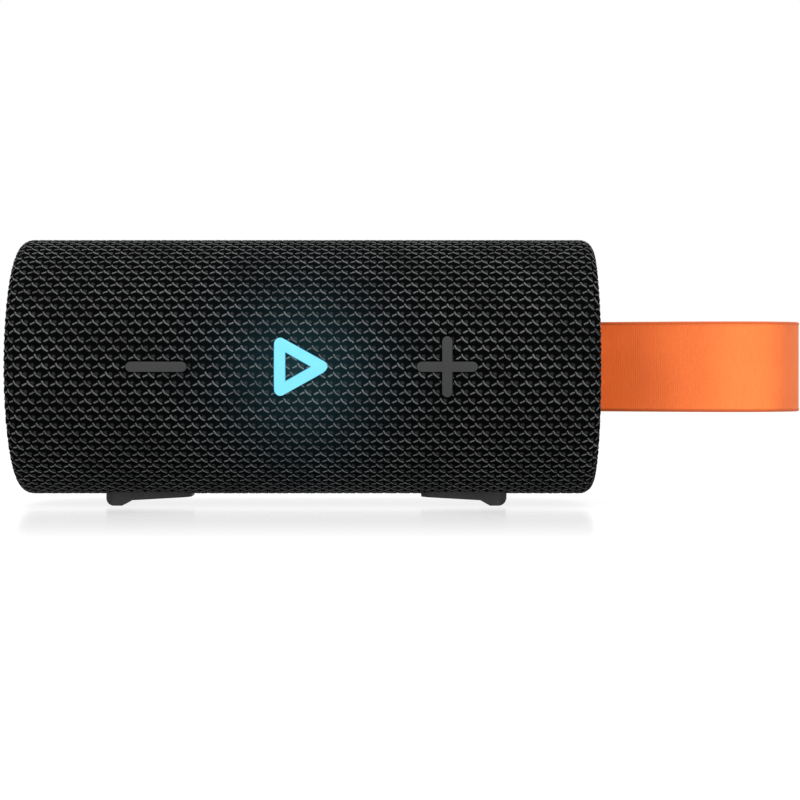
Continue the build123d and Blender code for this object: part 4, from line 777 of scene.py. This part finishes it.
def webbing_material(name):
    """Ribbed orange webbing with darker selvedges, and painted light and shade along its length:
    brighter at the neck, a painted highlight on the crown, painted shade at the tip.
    """
    g = Graph(name)
    flat = g.node("ShaderNodeUVMap", uv_map="UVMap").outputs["UV"]
    apart = g.node("ShaderNodeSeparateXYZ", {0: flat})
    along, across = apart.outputs["X"], apart.outputs["Y"]
    rib = g.math("SINE", g.math("MULTIPLY", along, 2 * math.pi / STRAP_RIB))
    ends = g.math("SINE", g.math("MULTIPLY", across, 2 * math.pi / STRAP_END_PITCH))
    check = g.math("MULTIPLY", rib, ends)
    edge = g.math("SUBTRACT", STRAP_WIDTH / 2, g.math("ABSOLUTE", across))
    selvedge = g.span(edge, STRAP_BEAD, 0.35)
    streak = g.noise(g.vector("MULTIPLY", flat, (9.0, 0.35, 1.0)), 1.0, 3.0, 0.6)
    fibre = g.noise(g.vector("MULTIPLY", flat, (3.0, 7.0, 1.0)), 2.0, 4.0, 0.65)
    soft = g.noise(g.place(), 0.12, 2.0)
    out = g.node("ShaderNodeSeparateXYZ", {0: g.place()}).outputs["X"]
    # rise mixes the near colour into the far one: painted light along the strap, darker by the neck
    # and lighter out on the bow; the streaks are the webbing's own tone
    rise = g.span(out, 53.0, 80.0)
    small = g.math("ADD", g.math("MULTIPLY", fibre, 0.25), g.math("MULTIPLY", soft, 0.3))
    tone = g.math("ADD", g.math("MULTIPLY", streak, 0.6), small)
    near = g.mix(g.span(tone, 0.35, 0.8), (0.62, 0.096, 0.012), (0.74, 0.122, 0.017))
    far = g.mix(g.span(tone, 0.35, 0.8), (0.63, 0.122, 0.021), (0.73, 0.152, 0.030))
    # painted light and shade along the strap: brighter right at the neck, a painted highlight over
    # the crown and painted shade over the tip
    neck_painted_light = g.span(out, 62.0, 54.0, 0.94, 1.28)
    crown = g.span(out, 70.0, 79.0, 0.0, 0.24)
    tip = g.span(out, 83.0, 88.5, 0.0, -0.33)
    painted_light_along = g.math("ADD", neck_painted_light, g.math("ADD", crown, tip))
    body = g.vector("SCALE", g.mix(rise, near, far), scale=painted_light_along)
    g.set(
        Base_Color=g.mix(g.math("MULTIPLY", selvedge, 0.8), body, (0.36, 0.058, 0.008)),
        Roughness=g.span(fibre, 0.2, 0.8, 0.55, 0.72),
        Sheen_Weight=0.12,
        Sheen_Roughness=0.45,
    )
    g.shader.inputs["Specular IOR Level"].default_value = 0.25
    weave = g.math("ADD", g.math("MULTIPLY", rib, 0.35), g.math("MULTIPLY", check, 0.25))
    g.bump(g.math("ADD", weave, fibre), 0.035, 0.8)
    return g


strap = webbing("strap_webbing_loop")
strap.data.materials.append(webbing_material("orange_webbing").material)
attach(strap, "strap")
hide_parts("strap_loop")


# ------------------------------------------------------------------ materials of the CAD nodes
def glow_material():
    g = Graph("lit_guide")
    cloud = g.noise(g.place(), 0.7, 2.0)
    fine = g.noise(g.place(), 5.0, 3.0)
    g.set(
        Base_Color=g.mix(cloud, (0.04, 0.15, 0.18), (0.05, 0.18, 0.21)),
        Roughness=g.span(fine, 0.3, 0.7, 0.4, 0.55),
        Emission_Color=g.mix(cloud, (0.155, 0.56, 0.79), (0.180, 0.61, 0.83)),
    )
    g.shader.inputs["Emission Strength"].default_value = 1.0
    g.shader.inputs["Specular IOR Level"].default_value = 0.15
    g.bump(fine, 0.01)
    return g


finishes = {
    "housing_plastic": lambda: moulded("housing_moulding", (0.024, 0.024, 0.027), 0.55, 2.5, 0.02),
    "trim_plastic": lambda: moulded(
        "trim_moulding", (0.03, 0.03, 0.033), 0.38, 3.5, 0.008, marks=0.2
    ),
    "black_rubber": lambda: moulded(
        "black_rubber_moulding",
        (0.0105, 0.0105, 0.011),
        0.62,
        4.0,
        0.018,
        specular=0.35,
        marks=0.3,
    ),
    "seal_rubber": lambda: moulded(
        "seal_rubber_moulding", (0.022, 0.022, 0.023), 0.5, 3.0, 0.01, specular=0.4
    ),
    "key_plastic": lambda: moulded(
        "key_moulding", (0.0255, 0.0258, 0.0264), 0.6, 5.0, 0.02, specular=0.2
    ),
    "glow_plastic": glow_material,
    "steel": lambda: turned("bright_steel", (0.6, 0.61, 0.63), 0.28, "z"),
    "ferrite": lambda: moulded("sintered_ferrite", (0.05, 0.05, 0.055), 0.5, 6.0, 0.03, metal=0.2),
    "basket_metal": lambda: moulded(
        "pressed_basket", (0.03, 0.03, 0.034), 0.4, 4.0, 0.012, metal=0.3
    ),
    "cone_paper": lambda: moulded("coated_cone", (0.035, 0.035, 0.04), 0.6, 3.0, 0.04, spread=0.3),
    "spider_cloth": lambda: woven("dipped_spider", (0.5, 0.34, 0.12), 0.35),
    "copper_wire": lambda: wound("copper_winding", (0.72, 0.3, 0.12), 0.16, "z"),
    "radiator_alloy": lambda: turned(
        "anodised_plate", (0.035, 0.035, 0.038), 0.34, "x", metal=0.6
    ),
    "battery_can": lambda: moulded("battery_sleeve", (0.05, 0.15, 0.33), 0.3, 2.0, 0.006),
    "board_laminate": lambda: laminate("board_mask"),
    "chip_resin": lambda: moulded("chip_resin", (0.016, 0.016, 0.018), 0.45, 6.0, 0.006),
    "connector_nylon": lambda: moulded("cream_nylon", (0.68, 0.65, 0.56), 0.42, 3.0, 0.006),
    "capacitor_sleeve": lambda: turned("capacitor_can", (0.4, 0.41, 0.43), 0.3, "z"),
    "led_resin": lambda: moulded("led_lens", (0.85, 0.87, 0.72), 0.18, 4.0, 0.003),
    "wire_sleeve": lambda: moulded("wire_sleeving", (0.45, 0.02, 0.02), 0.4, 5.0, 0.01),
}
replaced = {"cloth_sleeve", "play_cloth_patch", "strap_loop"}
made_finishes = {}
slots = [m["slot"] for m in frame["record"]["materials"]]
for node_name, node in frame["nodes"].items():
    if node_name in replaced:
        continue
    for part_slot in node.material_slots:
        title = part_slot.material.name.split(".")[0]
        within = next((s for s in slots if s in title), "housing_plastic")
        slot_name = title if title in slots else within
        if slot_name not in made_finishes:
            made_finishes[slot_name] = finishes[slot_name]().material
        part_slot.material = made_finishes[slot_name]


# ------------------------------------------------------------------ surrounds, in sectors
def half_roll(inner, outer, middle, radius, skin):
    """Closed outline of a surround, (radius, height): a flat land each side of a half roll."""
    over = math.asin(skin / radius)
    crown = [
        (middle - radius * math.cos(a), radius * math.sin(a))
        for a in np.linspace(over, math.pi - over, ROLL_STEPS)
    ]
    hollow = [
        (middle + (radius - skin) * math.cos(a), (radius - skin) * math.sin(a))
        for a in np.linspace(0, math.pi, ROLL_STEPS)
    ]
    edge = LAND_EDGE
    return [
        (inner, edge),
        (inner + edge, skin),
        *crown,
        (outer - edge, skin),
        (outer, edge),
        (outer - edge, 0.0),
        *hollow,
        (inner + edge, 0.0),
    ]


def flexing_ring(node, out, side, roll, material):
    """A surround in sectors of a half roll, laid between the body and the moving body along its
    radius.
    """
    low, high = (np.array(c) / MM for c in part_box(node))
    out, side = np.array(out), np.array(side)
    across = np.cross(out, side)
    seat = np.where(out > 0, low, high) * np.abs(out) + (low + high) / 2 * (1 - np.abs(out))
    corners = np.array([v.co for v in frame["nodes"][node].data.vertices]) / MM - seat
    radii = np.hypot(corners @ side, corners @ across)
    middle, radius, skin = roll
    profile = np.array(half_roll(radii.min(), radii.max(), middle, radius, skin))
    half = math.pi / SECTORS
    for k in range(SECTORS):
        bearing = 2 * half * k
        angles = bearing + np.linspace(-half, half, SECTOR_STEPS + 1)
        spokes = np.cos(angles)[:, None] * side + np.sin(angles)[:, None] * across
        places = seat + profile[:, :1] * spokes[:, None, :] + profile[:, 1:] * out
        width = len(profile)
        i, j = np.divmod(np.arange(SECTOR_STEPS * width), width)
        here, beside = i * width + j, i * width + (j + 1) % width
        faces = np.stack([here, beside, beside + width, here + width], 1).tolist()
        mesh = bpy.data.meshes.new(f"{node}_{k:02d}")
        mesh.from_pydata((places.reshape(-1, 3) * MM).tolist(), [], faces)
        shape = bmesh.new()
        shape.from_mesh(mesh)
        bmesh.ops.recalc_face_normals(shape, faces=shape.faces)
        shape.to_mesh(mesh)
        shape.free()
        mesh.shade_smooth()
        mesh.materials.append(material)
        piece = bpy.data.objects.new(mesh.name, mesh)
        bpy.context.scene.collection.objects.link(piece)
        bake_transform(piece)
        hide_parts(node)


ring_rubber = moulded(
    "surround_rubber", (0.020, 0.020, 0.021), 0.5, 3.0, 0.01, specular=0.4
).material
LEFTWARD, REARWARD, UPWARD, RIGHTWARD = (-1.0, 0, 0), (0, 1.0, 0), (0, 0, 1.0), (1.0, 0, 0)
flexing_ring(
    "radiator_surround", LEFTWARD, REARWARD, RADIATOR_ROLL, ring_rubber
)
flexing_ring("cone_surround", UPWARD, RIGHTWARD, DRIVER_ROLL, ring_rubber)


# ------------------------------------------------------------------ floor, light and camera
STANDING_HALF = (60.0, 24.0, 1.0)
SHEEN_NEAR, SHEEN_FAR, SHEEN_MOST = 10.0, 110.0, 0.34


def studio_floor():
    """Pale floor that glows a little, with a soft reflection just in front of the object."""
    mesh = bpy.data.meshes.new("studio_floor")
    near, far, half = -3.0, 16.0, 6.0
    corners = [(-half, near, 0), (half, near, 0), (half, far, 0), (-half, far, 0)]
    mesh.from_pydata(corners, [], [(0, 1, 2, 3)])
    made = bpy.data.objects.new("studio_floor", mesh)
    bpy.context.scene.collection.objects.link(made)
    g = Graph("pale_floor")
    where = g.place()
    cloud = g.noise(where, 0.004, 2.0)
    outside = g.vector("SUBTRACT", g.vector("ABSOLUTE", where), STANDING_HALF)
    away = g.vector("LENGTH", g.vector("MAXIMUM", outside, (0.0, 0.0, 0.0)))
    in_front = g.span(g.node("ShaderNodeSeparateXYZ", {0: where}).outputs["Y"], -6.0, -26.0)
    near_it = g.span(away, SHEEN_FAR, SHEEN_NEAR, 0.0, SHEEN_MOST)
    sheen = g.math("MULTIPLY", near_it, in_front)
    g.set(
        Base_Color=g.mix(cloud, (0.165, 0.165, 0.166), (0.175, 0.175, 0.175)),
        Roughness=0.6,
        Emission_Color=(1.0, 1.0, 1.0),
    )
    g.shader.inputs["Specular IOR Level"].default_value = 0.0
    g.shader.inputs["Emission Strength"].default_value = 0.84
    gloss = g.node("ShaderNodeBsdfGlossy", {"Color": (1.0, 1.0, 1.0), "Roughness": 0.16})
    both = {0: sheen, 1: g.shader.outputs[0], 2: gloss.outputs[0]}
    polished = g.node("ShaderNodeMixShader", both)
    output = next(n for n in g.tree.nodes if n.type == "OUTPUT_MATERIAL")
    g.tree.links.new(polished.outputs[0], output.inputs["Surface"])
    made.data.materials.append(g.material)


def soft_light(name, place, aim, size, power):
    lamp = bpy.data.lights.new(name, "AREA")
    lamp.shape, lamp.size, lamp.size_y = "RECTANGLE", *size
    lamp.energy = power
    made = bpy.data.objects.new(name, lamp)
    made.location = place
    made.rotation_euler = (Vector(aim) - Vector(place)).to_track_quat("-Z", "Y").to_euler()
    bpy.context.scene.collection.objects.link(made)


studio_floor()
# name, place, aim, size in metres, watts
soft_light("overhead_softbox", (0.0, -0.1, 0.9), (0.0, 0.0, 0.0), (1.2, 1.0), 9.0)
soft_light("front_softbox", (-0.5, -0.9, 0.55), (0.0, 0.0, 0.03), (0.7, 0.5), 4.0)
soft_light("strap_softbox", (0.45, -0.8, 0.30), (0.06, 0.0, 0.03), (0.4, 0.4), 2.4)

world = bpy.data.worlds.new("white_room")
world.use_nodes = True
background = world.node_tree.nodes["Background"]
background.inputs["Color"].default_value = (1.0, 1.0, 1.0, 1.0)
background.inputs["Strength"].default_value = 1.0
bpy.context.scene.world = world

lens = bpy.data.cameras.new("photo_camera")
lens.lens, lens.sensor_width, lens.shift_y = 108.3, 36.0, -0.0416
lens.clip_start, lens.clip_end = 0.01, 20.0
camera = bpy.data.objects.new("photo_camera", lens)
camera.location = (0.0172, -0.4456, AXIS_HEIGHT * MM)
camera.rotation_euler = (math.pi / 2, 0.0, 0.0)
bpy.context.scene.collection.objects.link(camera)
bpy.context.scene.camera = camera
bpy.context.scene.view_settings.view_transform = "Standard"

bpy.context.view_layer.update()
